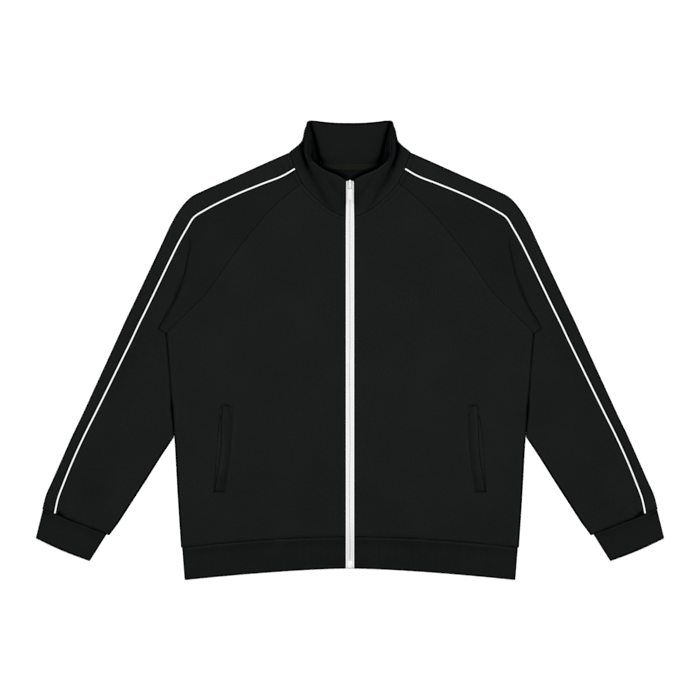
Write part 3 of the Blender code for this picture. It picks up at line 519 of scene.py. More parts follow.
# Across the collar's side at some places up it: the rolled top edge, the inner end of its stitched rim, the middle of
# the crease where the side folds over the back, how wide that crease's painted black shadow and its fading are, and
# how dark the painted line of the rim's stitching is
NeckRow = namedtuple("NeckRow", "y outer inner crease black fade stitch")
NECK = [
    NeckRow(377.9, 70.4, 69.5, 68.0, 0.6, 1.2, 0.0),
    NeckRow(372.9, 70.3, 67.9, 65.7, 1.0, 1.6, 0.1),
    NeckRow(363.0, 71.3, 66.6, 62.9, 1.5, 2.4, 0.2),
    NeckRow(353.1, 73.4, 66.2, 60.0, 1.5, 2.8, 0.25),
    NeckRow(343.2, 74.8, 65.7, 57.8, 1.6, 2.8, 0.3),
    NeckRow(333.3, 75.2, 65.3, 55.2, 1.6, 3.0, 0.7),
    NeckRow(323.4, 73.8, 66.3, 53.4, 1.8, 3.2, 0.8),
    NeckRow(318.5, 72.1, 64.7, 52.2, 2.2, 4.0, 0.7),
    NeckRow(313.5, 70.5, 62.7, 51.4, 2.4, 7.5, 0.5),
    NeckRow(308.6, 68.3, 59.5, 50.6, 2.0, 10.0, 0.3),
]
NECK_RIM_STITCH = 2.6
# The edge of the collar's front, over what lies behind it, from which its painted shadow falls
NECK_EDGE = [(65.5, 333.3), (66.3, 323.4), (64.7, 318.5), (62.7, 313.5), (59.5, 308.6), (52.8, 303.6), (45.4, 298.7),
             (34.6, 293.7), (16.5, 286.6), (0.0, 281.0)]
# How dark the painted shade in the gap between the body's side and the sleeve is, from the cuff's end of it up to the
# armpit, and the height on the plan where it ends
CREVICE_SHADE = ([-150.0, -135.0, -115.0, -90.0, -66.0, -33.0, 0.0, 26.0],
                 [0.95, 0.9, 1.0, 1.0, 0.75, 0.55, 0.75, 0.55])
CREVICE_END = -147.0


def creases(plan, folds):
    """How far each plan point is raised by the folds, and the painted shade that they put on it."""
    relief, shade = np.zeros(plan.shape[:-1]), np.zeros(plan.shape[:-1])
    for fold in folds:
        line = even_spline(fold.line, np.linspace(0, 1, 17))
        strength = line[:, 2] if line.shape[1] == 3 else np.sin(np.linspace(0, math.pi, 17)) ** 0.7
        nearest, amount = np.full(relief.shape, np.inf), np.zeros(relief.shape)
        for k, (start, end) in enumerate(zip(line[:-1, :2], line[1:, :2])):
            way = end - start
            share = ((plan - start) @ way / (way @ way)).clip(0, 1)
            offset = plan - start - share[..., None] * way
            away = np.linalg.norm(offset, axis=-1)
            on_right = offset[..., 0] * way[1] - offset[..., 1] * way[0] > 0
            width = np.where(on_right, fold.right, fold.left)
            strong = strength[k] * (1 - share) + strength[k + 1] * share
            amount = np.where(away < nearest, strong * bell(away, width), amount)
            nearest = np.minimum(nearest, away)
        relief += fold.height * amount
        shade += fold.shade * amount
    return relief, shade


def wander(along, scale, seed):
    """A slow, uneven change between -1 and 1 along a line."""
    values = [noise.noise(Vector((s / scale, seed, 0.0))) for s in np.ravel(along)]
    return 1.6 * np.array(values).reshape(np.shape(along))


def drift(plan, height, scale, seed):
    """A gentle rise and fall of the laid cloth, the same on both sides of the jacket."""
    flat = plan.reshape(-1, 2)
    values = [noise.noise(Vector((x / scale, y / scale, seed))) for x, y in flat]
    return height * np.array(values).reshape(plan.shape[:-1])


def puckers(distance, along, height, reach, pitch, seed):
    """Uneven ripples that a seam draws into the cloth beside it."""
    phase, swell = wander(along, 3 * pitch, seed), wander(along, 2 * pitch, seed + 7.0)
    wave = np.sin(2 * math.pi * along / pitch + 3 * phase)
    return height * wave * (0.55 + 0.6 * swell) * bell(distance, reach)


def seam_relief(distance, depth, width=1.6, swell=0.3):
    """The valley at a seam, between the swells of the cloth that is turned in under it."""
    return swell * bell(distance - 4.0, 2.6) - depth * bell(distance, width)


def topstitch_relief(distance):
    """The groove that a row of stitches pulls into the cloth."""
    return -0.3 * bell(distance - TOPSTITCH_AT, 0.7)


def edge_shade(distance, dark, width, lit):
    """Painted shade along a seam or turned edge, with a painted highlight line beside it."""
    return dark * bell(distance, width) - lit * bell(distance - 2.7 * width, 0.9 * width)


def rim_shade(distance, dark, width, lit=0.0):
    """Painted shade along a turned edge, even up to its width and sharp there, with a painted highlight line beside it.
    """
    return dark * smooth_step((width - distance) / 0.8) - lit * bell(distance - width - 0.9, 1.0)


def turned_shade(distance, lit=0.1):
    """Painted shade along an outer edge, where the cloth turns under."""
    return rim_shade(distance, *TURNED_EDGE, lit)


# Painted shade along a raglan seam, with painted highlights beside it, stronger in some places than others
def raglan_shade(distance, y):
    return edge_shade(distance, 0.3, 0.9, 0.07) * (1 + 0.4 * wander(y, 14.0, 6.0))


def side_shade(distance, y):
    """Painted shade in the gap between body and sleeve, widest where it stands open, and below that along an outer
    edge.
    """
    in_gap = y > CREVICE_END
    dark = np.where(in_gap, np.interp(y, *CREVICE_SHADE), 0.0)
    return edge_shade(distance, dark, 1.6 + bell(y + 99, 14), 0.06) + turned_shade(distance) * ~in_gap


def hem_unevenness(x):
    return 1 + 0.5 * wander(x, 22.0, 3.0)


def neck_row(y):
    """What the rows across the collar's side say at some heights on the plan."""
    columns = np.array(NECK[::-1]).T
    return NeckRow(*(np.interp(y, columns[0], column) for column in columns))


def neck_shade(plan):
    """Painted shadows inside the neck: the rim's stitched line and its painted highlights, the side that turns away,
    and the black crease behind it.
    """
    x, y = np.abs(plan[..., 0]), plan[..., 1]
    row = neck_row(y)
    behind = 1 / (1 + ((row.crease - row.black - x).clip(0) / row.fade) ** 2.2)
    share = (x - row.crease - row.black) / (row.inner - row.crease - row.black).clip(0.5)
    low = smooth_step((332 - y) / 12)
    side = 0.79 - (0.62 - 0.44 * low) * smooth_step(share) + 0.3 * low * bell(row.inner - x - 1.0, 0.8)
    rim = 0.2 - 0.45 * bell(row.outer - x - 0.8, 1.1) - (0.14 + 0.16 * low) * bell(x - row.inner - 0.7, 1.0)
    rim += 1.2 * row.stitch * bell(x - row.inner - NECK_RIM_STITCH, 0.65)
    shade = np.where(share < 0, behind, side)
    return shade + (rim - shade) * smooth_step((x - row.inner + 0.4) / 0.8)


def neck_edge_shade(plan):
    """The painted shadow that the collar's front throws on what lies behind its edge."""
    reach = 4.0 + 5.0 * smooth_step(np.abs(plan[..., 0]) / 26)
    away = distance_to(np.abs(plan), NECK_EDGE)
    return 1 - smooth_step((away - 0.3 * reach) / reach)


def body_surface(plan):
    """What raises or sinks the top layer of the body, and the painted shade and highlights on it."""
    x, y = plan[..., 0], plan[..., 1]
    neck, raglan, side = (distance_to(plan, line) for line in (NECK_LINE, RAGLAN_LINE, SIDE_LINE))
    mouth, sewn = (distance_to(plan, even_spline(line, FINE[::6])) for line in (WELT_MOUTH, WELT_SEAM))
    above_hem, from_zip = y - hem_y(x), x - ZIP_EDGE
    relief, shade = creases(plan, BODY_FOLDS + POCKET_FOLDS)
    relief += drift(plan, 0.8, 70.0, 3.0) * smooth_step(from_zip / 40)
    relief += seam_relief(neck, 0.8) + topstitch_relief(neck) + seam_relief(raglan, *RAGLAN_SEAM)
    relief += seam_relief(above_hem, 0.9, 1.8, 0.35)
    relief += puckers(above_hem, x, 0.28, 12.0, 15.0, 1.0) + puckers(raglan, y, 0.12, 5.0, 9.0, 2.0)
    relief += 0.45 * bell(from_zip - 3.0, 3.2) - 0.7 * bell(mouth, 2.2) - 0.6 * bell(sewn, 2.6)

    # Painted shade towards the hem and along the zip, seams and stitching, with painted highlights beside some
    shade += 0.07 * smooth_step((-120 - y) / 160) + rim_shade(from_zip, 1.0, 2.2, 0.14)
    shade += edge_shade(neck, 0.5, 0.9, 0.2) + 0.36 * bell(neck - TOPSTITCH_AT, 0.8)
    shade -= 0.1 * bell(neck - TOPSTITCH_AT - 2.2, 1.2)
    shade += (edge_shade(above_hem, 0.5, 1.0, 0.0) + 0.12 * bell(above_hem, 5.0)) * hem_unevenness(x)
    return relief, shade + raglan_shade(raglan, y) + side_shade(side, y)


def sleeve_surface(plan):
    """What raises or sinks the top layer of the sleeve, apart from the pleat, and the painted shade and highlights on
    it.
    """
    x, y = plan[..., 0], plan[..., 1]
    first, last = SLEEVE[0], SLEEVE[-1]
    lines = ([first.seam, first.piping, first.fold], [last.fold, last.seam],
             RAGLAN_LINE, PIPING_LINE, UNDERARM_LINE, FOLD_LINE)
    neck, cuff, raglan, piping, underarm, fold = (distance_to(plan, line) for line in lines)
    relief, shade = creases(plan, SLEEVE_FOLDS)
    relief += drift(plan, 0.7, 60.0, 9.0)
    relief += seam_relief(neck, 0.8) + topstitch_relief(neck) + seam_relief(raglan, *RAGLAN_SEAM)
    relief += seam_relief(cuff, 0.9, 2.0, 0.5) + seam_relief(piping, 0.9, 2.2, 0.35)
    relief += puckers(cuff, x - 0.4 * y, 0.5, 16.0, 17.0, 4.0) + puckers(piping, y - x, 0.1, 5.0, 11.0, 5.0)

    # Painted shade: a little overall and more towards the shoulder, beside the piping, in the crescent and along seams
    shade += 0.05 + 0.05 * smooth_step((y - 60) / 80) + rim_shade(piping, 1.0, PIPING / 2 + 2.8, 0.16)
    shade = np.maximum(shade, creases(plan, CRESCENT)[1])
    shade += edge_shade(neck, 0.55, 0.9, 0.16) + 0.5 * bell(neck - TOPSTITCH_AT, 0.8)
    sewn = np.interp(np.linalg.norm(plan - last.fold, axis=-1), *CUFF_SEAM_SHADE)
    shade += 1.1 * sewn * bell(cuff, 1.7) * (1 + 0.3 * wander(x, 12.0, 8.0)) + 0.14 * bell(cuff, 6.0)
    return relief, shade + raglan_shade(raglan, y) + side_shade(underarm, y) + turned_shade(fold)


# Surfaces of the pieces ------------------------------------------------------------------------------------


def fold_arc(centre, outward, low, high, steps=9):
    """The round of a fold, from the top layer to the bottom one, without its two ends."""
    radius, middle = (high - low) / 2, (high + low) / 2
    turn = np.linspace(math.pi / 2, -math.pi / 2, steps + 1)[1:-1]
    plan = np.asarray(centre) + np.outer(radius * np.cos(turn), outward)
    return with_height(plan, middle + radius * np.sin(turn))


def sleeve_guides():
    """The sleeve's guide lines in plan and its heights, each read at every section."""
    rows = range(len(SLEEVE))
    rough = np.linspace(0, len(SLEEVE) - 1, 800)
    along = travelled(spline([row.fold for row in SLEEVE], rough))
    armpit = np.interp(ARMPIT_ROW, rough, along)
    upper = places(armpit, CELL) * armpit
    lower = armpit + places(along[-1] - armpit, CELL) * (along[-1] - armpit)
    at = np.interp(np.concatenate([upper, lower[1:]]), along, rough)
    guides = {name: spline([getattr(row, name) for row in SLEEVE], at)
              for name in ("fold", "piping", "pleat", "seam", "back")}
    for name in ("pleat_height", "crown"):
        guides[name] = spline([[getattr(row, name)] for row in SLEEVE], at)[:, 0].clip(0)
    for name in ("seam", "back"):
        straight = np.stack([np.interp(at, rows, [getattr(row, name)[k] for row in SLEEVE]) for k in (0, 1)], axis=1)
        guides[name][at > UNDERARM_ROW] = straight[at > UNDERARM_ROW]
    way = np.gradient(guides["fold"], axis=0)
    guides["outward"] = np.stack([-way[:, 1], way[:, 0]], axis=1) / np.linalg.norm(way, axis=1)[:, None]
    guides["centre"] = guides["fold"] - guides["outward"] * (TOP_MID - FLOOR_MID + CLOTH) / 2
    guides["raglan_rows"] = len(upper)
    return guides


def crowned(plan, guides):
    """The middle of the sleeve's top layer, rounded up between its fold and its seam."""
    from_fold = np.linalg.norm(plan - guides["centre"][:, None], axis=-1)
    from_seam = np.linalg.norm(plan - guides["seam"][:, None], axis=-1)
    crown = guides["crown"][:, None] * np.sin(math.pi * from_fold / (from_fold + from_seam)) ** 2
    return top_height(plan) + crown


def across(start, end, shares):
    """Sections from one guide line to another, a row for each."""
    shares = np.asarray(shares)[None, :, None]
    return start[:, None] * (1 - shares) + end[:, None] * shares


def patch(neck, hem, outer, shares):
    """Half of a body layer: the plan between its neck, hem and outer edge, and a straight line near the middle."""
    hem[-1] = outer[-1]
    s, v = shares[None, :, None], (travelled(outer) / travelled(outer)[-1])[:, None, None]
    middle = between(neck[0], hem[0], v.ravel())
    corners = (1 - s) * ((1 - v) * neck[0] + v * hem[0]) + s * ((1 - v) * neck[-1] + v * hem[-1])
    return (1 - v) * neck + v * hem + (1 - s) * middle[:, None] + s * outer[:, None] - corners


def pleat_relief(plan, guides):
    """The fold of spare cloth above the armpit: steep on its outer side, and soft towards the body."""
    offset = plan - guides["pleat"][:, None]
    way = guides["seam"] - guides["pleat"]
    reach = np.linalg.norm(way, axis=1)[:, None]
    inwards = (offset * (way / reach)[:, None]).sum(-1)
    shape = smooth_step((inwards + 2.6) / 3.6) * (1 - (inwards.clip(0) / reach).clip(0, 1)) ** 1.3
    lip = 0.35 * bell(inwards - 1.6, 2.0) - 0.25 * bell(inwards + 5.0, 4.0)
    return guides["pleat_height"][:, None] * (shape + lip)


def sleeve_front_grid(guides):
    """The front half of the sleeve, from the piping to the raglan and underarm seams."""
    outer = across(guides["piping"], guides["pleat"], places(PIPING_TO_PLEAT, CELL * 0.9))
    inner = across(guides["pleat"], guides["seam"], places(PLEAT_TO_SEAM, CELL))
    plan = np.concatenate([outer, inner[:, 1:]], axis=1)
    relief, shade = sleeve_surface(plan)
    return with_height(plan, crowned(plan, guides) + pleat_relief(plan, guides) + relief), shade


def sleeve_back_grid(guides):
    """The back half of the sleeve: from the piping over the outer fold, and under to the back seam."""
    top = across(guides["piping"], guides["centre"], places(PIPING_TO_FOLD, CELL * 0.5, (True, False)))
    relief, shade = sleeve_surface(top)
    fade = smooth_step(np.linspace(2.5, 0, top.shape[1]))[None]
    # Less painted shade on the upper strip towards the shoulder, and painted shade where the cloth turns at the fold
    shade -= 0.1 * smooth_step((top[..., 1] - 80) / 90)
    top = with_height(top, crowned(top, guides) + relief * fade)
    edges = zip(guides["centre"], guides["outward"], top[:, -1, 2])
    arcs = np.array([fold_arc(centre, outward, FLOOR_MID, height) for centre, outward, height in edges])
    under = across(guides["centre"], guides["back"], places(FOLD_TO_BACK_SEAM, HIDDEN_CELL, (False, True)))
    grid = np.concatenate([top, arcs, with_height(under, FLOOR_MID)], axis=1)
    rounded = turned_shade(distance_to(arcs[..., :2], FOLD_LINE))
    return grid, np.concatenate([shade, rounded, np.zeros(under.shape[:2])], axis=1)


def front_grid(guides):
    """One body front, between the neck, raglan, side and hem seams and the zip."""
    side_length = travelled(SIDE_LINE)[-1]
    side = evenly(SIDE_LINE, finer(places(side_length, CELL), side_length, POCKET_ROWS))
    outer = np.concatenate([guides["seam"][:guides["raglan_rows"]], side[1:]])
    shares = finer(places(HEM_SEAM_HALF, CELL), HEM_SEAM_HALF, POCKET_COLUMNS)
    hem = evenly(hem_points(np.linspace(ZIP_EDGE, HEM_SEAM_HALF, 60)), shares)
    plan = patch(evenly(NECK_LINE, shares), hem, outer, shares)
    relief, shade = body_surface(plan)
    return with_height(plan, top_height(plan) + relief), shade


def back_grid(guides):
    """Half of the back, from its side to its middle, flat on the floor."""
    side = evenly(SIDE_LINE, places(travelled(SIDE_LINE)[-1], HIDDEN_CELL, (False, True)))
    outer = np.concatenate([guides["back"][:guides["raglan_rows"]], side[1:]])
    shares = places(HEM_SEAM_HALF, 7.0, (False, True))
    neck = back_neck_points(shares * SLEEVE[0].back[0])
    plan = patch(neck, hem_points(shares * HEM_SEAM_HALF), outer, shares)[:, ::-1]
    # Painted shadow inside the neck, from the collar's front and from the crease at its side
    shade = np.maximum(neck_edge_shade(plan), neck_shade(plan)) * (plan[..., 1] > 270)
    return with_height(plan, FLOOR_MID), shade


def neck_seam(guides):
    """The seam that the collar stands on, from the zip to the middle of the back."""
    front, sleeve_front, sleeve_back = (grid(guides)[0] for grid in (front_grid, sleeve_front_grid, sleeve_back_grid))
    back = with_height(back_neck_points(np.linspace(SLEEVE[0].back[0], 0, 40)[1:]), FLOOR_MID)
    seam = np.concatenate([front[0], sleeve_front[0][::-1][1:], sleeve_back[0][1:], back])
    share = (seam[:, 2] - FLOOR_MID) / (TOP_MID - FLOOR_MID)
    seam[:, 2] = BAND_FLOOR_MID + share.clip(0, 1) * (BAND_TOP_MID - BAND_FLOOR_MID)
    return seam


def collar_grid(guides):
    """Half of the collar, from the zip to the middle of the back."""
    seam = neck_seam(guides)
    shares = places(travelled(seam)[-1], COLLAR_CELL, (True, False))
    seam = evenly(seam, shares)
    at = np.interp(shares, [row.share for row in COLLAR], range(len(COLLAR)))
    waist = spline([row.waist for row in COLLAR], at)
    top = spline([row.top for row in COLLAR], at)
    start, end = COLLAR_ROLL
    curled = (smooth_step((shares - start) / 0.08) * smooth_step((end - shares) / 0.02))[:, None]
    lip = top + (waist - top) * 0.38
    side = neck_row(top[:, 1:2])
    turned = np.concatenate([side.outer - BAND / 2, top[:, 1:2] - 1.0, top[:, 2:] - LIP_DROP], axis=1)
    lip = lip * (1 - curled) + turned * curled
    top[:, :1] += (np.minimum(side.inner, top[:, :1]) - top[:, :1]) * curled
    up = places(COLLAR_HEIGHT, 2.0)
    grid = np.array([even_spline([s, w, l, t], up) for s, w, l, t in zip(seam, waist, lip, top)])
    grid = grid.transpose(1, 0, 2)
    grid[:, :, 2] = np.maximum(grid[:, :, 2], np.minimum(grid[0, :, 2], BAND_TOP_MID))
    grid[:, 0, 0] = ZIP_EDGE
    grid[:, -1, 0] = 0.0
    relief, shade = collar_surface(grid, shares, up[:, None])
    grid[..., 2] += relief
    return grid, shade


def collar_surface(grid, shares, up):
    """What raises or sinks the collar, and the painted shade and highlights on it."""
    plan, x, y = grid[..., :2], grid[..., 0], grid[..., 1]
    front = smooth_step((COLLAR_FRONT_END - shares) / 0.08)[None]
    from_seam, from_top = up * COLLAR_HEIGHT, (1 - up) * COLLAR_HEIGHT
    outer = neck_row(y).outer
    relief, shade = creases(plan, COLLAR_FOLDS)
    hollow, dark = creases(plan, CRESCENT)
    relief = (relief + hollow + 0.35 * bell(from_seam - 3.0, 2.5)) * front

    # Painted shade: the crescent, the seam, the zip's edge, the back's top edge and inside the neck; painted highlights
    # too
    beyond = np.where(y > NECK_OPEN_Y - 2, smooth_step((x - outer + 0.5) / 0.8), 1.0)
    shade = np.maximum(shade * front, dark * beyond)
    shade += edge_shade(from_seam, 0.42, 0.9, 0.22) - (0.06 + 0.12 * bell(from_seam - 5.0, 4.5)) * front
    shade -= 0.32 * bell(from_top - 1.6, 1.6) * smooth_step((0.44 - shares) / 0.06)[None]
    shade += rim_shade(x - ZIP_EDGE, 1.0, 2.2, 0.08) * front
    inside = (shares > 0.33)[None] * smooth_step((y - NECK_OPEN_Y) / 3) * (x < outer + 0.4)
    inside = np.maximum(inside, (shares > COLLAR_BACK_START)[None])
    back_rim = rim_shade(from_top, 0.97, 3.2, 0.04) * (shares > 0.6)[None]
    return relief, shade * (1 - inside) + np.maximum(neck_shade(plan), back_rim) * inside


def hem_band_grid():
    """Half of the hem band, from the zip over the side fold to the middle of the back."""
    rows = []
    for share in places(HEM_SEAM_Y - HEM_BOTTOM_Y, CELL):
        fold_x = band_half(share) - BAND_RADIUS
        front_x = ZIP_EDGE + (fold_x - ZIP_EDGE) * places(HEM_BAND_HALF, CELL, (True, False))
        back_x = fold_x * np.linspace(1, 0, 28)
        fold_y = band_y(fold_x, share)
        rows.append(np.concatenate([
            with_height(np.stack([front_x, band_y(front_x, share)], axis=1), BAND_TOP_MID),
            fold_arc((fold_x, fold_y), (1.0, 0.0), BAND_FLOOR_MID, BAND_TOP_MID),
            with_height(np.stack([back_x, band_y(back_x, share)], axis=1), BAND_FLOOR_MID),
        ]))
    grid = np.array(rows)
    plan, x, y = grid[..., :2], grid[..., 0], grid[..., 1]
    on_top = (grid[..., 2] > BAND_TOP_MID - 0.01) * 1.0
    below, above = hem_y(x) - y, y - band_y(x, 1.0)
    from_side = band_half(below / (HEM_SEAM_Y - HEM_BOTTOM_Y)) - x
    relief = puckers(below, x, 0.3, 9.0, 13.0, 11.0) + drift(plan, 0.5, 38.0, 5.0)
    relief += 0.5 * bell(below - 2.8, 2.2) - 0.6 * bell(below, 1.2)
    grid[..., 2] += relief * smooth_step((HEM_BAND_HALF - x) / 12) * on_top

    # Painted shade at the seam and under it, a painted highlight on the band's top, painted shade at its turned edges
    shade = edge_shade(below, 0.7, 1.0, 0.0) * hem_unevenness(x)
    shade += 0.13 * bell(below - 9.0, 5.5) - 0.3 * bell(below - 2.8, 1.3)
    shade += turned_shade(above, 0.12) + turned_shade(from_side, 0.08) + rim_shade(x - ZIP_EDGE, 1.0, 2.4, 0.16)
    # Uneven tone at random, and a little darker towards the middle
    shade += drift(plan, 0.08, 26.0, 6.0) + 0.05 * wander(x, 4.5, 9.0) + 0.07 * bell(x, 60.0)
    return grid, shade


def cuff_grid():
    """A cuff: a flattened ring from its seam to its open edge. The last column meets the first."""
    flat = np.concatenate([[0], np.linspace(0.02, 0.98, 34), [1]])
    rows, shades = [], []
    for share in places(CUFF_DEPTH, CELL * 0.8):
        outer, inner = (between(a, b, [share])[0] for a, b in zip(CUFF_SEAM, CUFF_EDGE))
        width = np.linalg.norm(outer - inner)
        out = (outer - inner) / width
        far, near = outer - out * BAND_RADIUS, inner + out * BAND_RADIUS
        bow = np.sin(math.pi * flat)[:, None] * np.array([out[1], -out[0]]) * CUFF_BOW * share
        below, above = share * CUFF_DEPTH, (1 - share) * CUFF_DEPTH
        ripple = puckers(np.full(len(flat), below), flat * width, 0.45, 13.0, 15.0, 8.0)
        ripple += 0.35 * bell(below - 2.5, 2.5) - 0.5 * bell(below, 1.2)
        row = np.concatenate([
            with_height(between(near, far, flat) + bow, BAND_TOP_MID + ripple * np.sin(math.pi * flat) ** 0.4),
            fold_arc(far, out, BAND_FLOOR_MID, BAND_TOP_MID),
            with_height(between(far, near, flat) + bow, BAND_FLOOR_MID),
            fold_arc(near, -out, BAND_FLOOR_MID, BAND_TOP_MID)[::-1],
        ])
        along = (row[:, :2] - inner) @ out
        from_fold = width - along
        uneven = 1 + 0.4 * wander(along, 15.0, 2.0)
        # Painted shade along the seam and turned edges, a painted highlight below the seam, and painted shadow by the
        # fold
        shade = np.interp(from_fold, *CUFF_SEAM_SHADE) * edge_shade(below, 1.1, 1.7, 0.0) * uneven
        shade += 0.14 * bell(below, 13.0) * uneven - 0.2 * bell(below - 3.2, 1.3)
        shade += 0.5 * bell(below - 5.0, 2.2) * smooth_step((16.0 - from_fold) / 7.0)
        shade += turned_shade(above, 0.12) + turned_shade(np.minimum(np.abs(from_fold), np.abs(along)), 0.08)
        rows.append(row)
        shades.append(shade)
    return np.array(rows), np.array(shades)


def welt_grid():
    """A pocket welt, lying on the front: its mouth lifts a little, and its sewn edge sinks into the seam."""
    down, shares = places(WELT_LENGTH, 3.0), places(WELT_WIDTH, 1.6)
    plan = across(even_spline(WELT_MOUTH, down), even_spline(WELT_SEAM, down), shares)
    from_mouth, from_top = shares[None] * WELT_WIDTH, down[:, None] * WELT_LENGTH
    arched = np.sin(math.pi * down)[:, None]
    height = TOP_MID + CLOTH / 2 + SEAM_GAP + WELT / 2
    height = height + 0.5 * arched * bell(from_mouth - 1.0, 3.0) - 0.6 * bell(from_mouth - WELT_WIDTH, 3.5)
    height = height + drift(plan, 0.5, 16.0, 2.0) * np.sin(math.pi * shares)[None]
    # Painted shade along the mouth, towards the sewn edge and bottom, and at the ends, with a painted highlight
    shade = 0.75 * bell(from_mouth, 1.0) * (0.6 + 0.4 * smooth_step(from_top / 25)) - 0.1 * bell(from_mouth - 3.0, 1.6)
    shade += 0.28 * smooth_step((from_mouth - 6.0) / 10.5) * arched ** 0.5 * smooth_step(from_top / 20)
    shade += 0.2 * smooth_step((from_top - 100) / 30)
    shade += 0.12 * bell(from_top, 1.2) + 0.3 * bell(from_top - WELT_LENGTH, 3.0)
    shade += 0.22 * bell(from_mouth - 10.0 - from_top * 0.35, 3.0) * bell(from_top - 8.0, 12.0)
    return with_height(plan, height), shade


def neck_tape_grid():
    """Half of the tape that covers the back neck seam, lying on the inside of the back."""
    x = np.linspace(SLEEVE[0].back[0] - NECK_TAPE_SHORT, 0, 46)
    drops = NECK_TAPE_DROP + (NECK_TAPE_WIDTH - NECK_TAPE_DROP) * places(NECK_TAPE_WIDTH, 2.0)
    plan = np.array([back_neck_points(x, drop) for drop in drops])
    # Painted shadow from the collar's front and the neck's crease, and painted shade along the tape's lower edge
    shade = 0.93 * np.maximum(neck_edge_shade(plan), neck_shade(plan))
    shade += 0.25 * bell(drops - NECK_TAPE_WIDTH, 1.0)[:, None]
    return with_height(plan, CLOTH + SEAM_GAP + NECK_TAPE / 2), shade


def zip_line(collar):
    """Where the zip's middle runs, as (y, z), from the hem to the collar's top."""
    start, end = ZIP_BOTTOM_Y, collar[0, 0, 1] - 6
    body = [(y, TAPE_MID) for y in np.arange(start, end, 4.0)]
    edge = collar[:, 0] - (0, 0, BAND_TOP_MID - TAPE_MID)
    rising = [(y, z) for _, y, z in edge if y < ZIP_TOP_Y - 0.4]
    return np.array(body + rising + [(ZIP_TOP_Y, np.interp(ZIP_TOP_Y, edge[:, 1], edge[:, 2]))])


def slit_x(y):
    """How far the zip's slit wanders from the middle."""
    return SLIT_WANDER * (np.sin(y / 31.0) + 0.6 * np.sin(y / 13.0 + 1.0)) - 0.4


def zip_tape_grid(line, side):
    """One tape, with the ridge of the coil under it. Side is 1 for the left and -1 for the right."""
    y, z = line[:, :1], line[:, 1:]
    full = ZIP_EDGE - SEAM_GAP
    from_top = (y[-1] - y).clip(0, ZIP_TOP_ROUND)
    rim = full - ZIP_TOP_ROUND + np.sqrt(ZIP_TOP_ROUND**2 - (ZIP_TOP_ROUND - from_top) ** 2)
    rim = rim - 0.5 * smooth_step((y - ZIP_RISE_Y + 35) / 45)
    slit = slit_x(y) * side + SEAM_GAP / 2
    shares = places(full, 0.45)[None]
    x = slit + (rim - slit) * shares
    at, width, height = COIL_RIDGE
    z = z + height * bell(x - at, width)
    at, width, depth = COIL_GROOVE
    z = z - depth * bell(x - at, width)
    # Painted shade in the coil's groove and the slit, more towards both ends, and a painted highlight by the outer edge
    ends = 0.1 * smooth_step((90 + ZIP_BOTTOM_Y - y) / 60) + 0.1 * smooth_step((y - ZIP_RISE_Y + 4) / 12)
    shade = 0.06 * bell(x - at, 0.5) + (0.1 + 1.2 * ends) * bell(full * shares, 0.5) + ends
    shade = shade - 0.2 * smooth_step((full * (shares - 1) + 1.9) / 0.8) * (y < ZIP_RISE_Y)
    surface = np.stack(np.broadcast_arrays(x, y, z), axis=-1), shade
    return surface if side > 0 else twin(surface)


# Meshes ------------------------------------------------------------------------------------------------------


def link(name, mesh, material):
    piece = bpy.data.objects.new(name, mesh)
    bpy.context.scene.collection.objects.link(piece)
    mesh.materials.clear()
    mesh.materials.append(material)
    return piece


def evaluated(source):
    """The mesh that an object makes, which takes the object's place."""
    bpy.context.view_layer.update()
    mesh = bpy.data.meshes.new_from_object(source.evaluated_get(bpy.context.evaluated_depsgraph_get()))
    bpy.data.objects.remove(source)
    mesh.shade_smooth()
    return mesh


def shell_faces(rows, columns, ring):
    """The faces between two like grids: those of the first grid, those of the second, and then the rims."""
    high = np.arange(rows * columns).reshape(rows, columns)
    if ring:
        high = np.concatenate([high, high[:, :1]], axis=1)
    low = high + rows * columns
    sets = [(high[:-1, :-1], high[1:, :-1], high[1:, 1:], high[:-1, 1:]),
            (low[:-1, :-1], low[:-1, 1:], low[1:, 1:], low[1:, :-1]),
            (high[0, :-1], high[0, 1:], low[0, 1:], low[0, :-1]),
            (high[-1, 1:], high[-1, :-1], low[-1, :-1], low[-1, 1:])]
    if not ring:
        sets += [(high[1:, 0], high[:-1, 0], low[:-1, 0], low[1:, 0]),
                 (high[:-1, -1], high[1:, -1], low[1:, -1], low[:-1, -1])]
    return [np.stack(corners, axis=-1).reshape(-1, 4) for corners in sets]


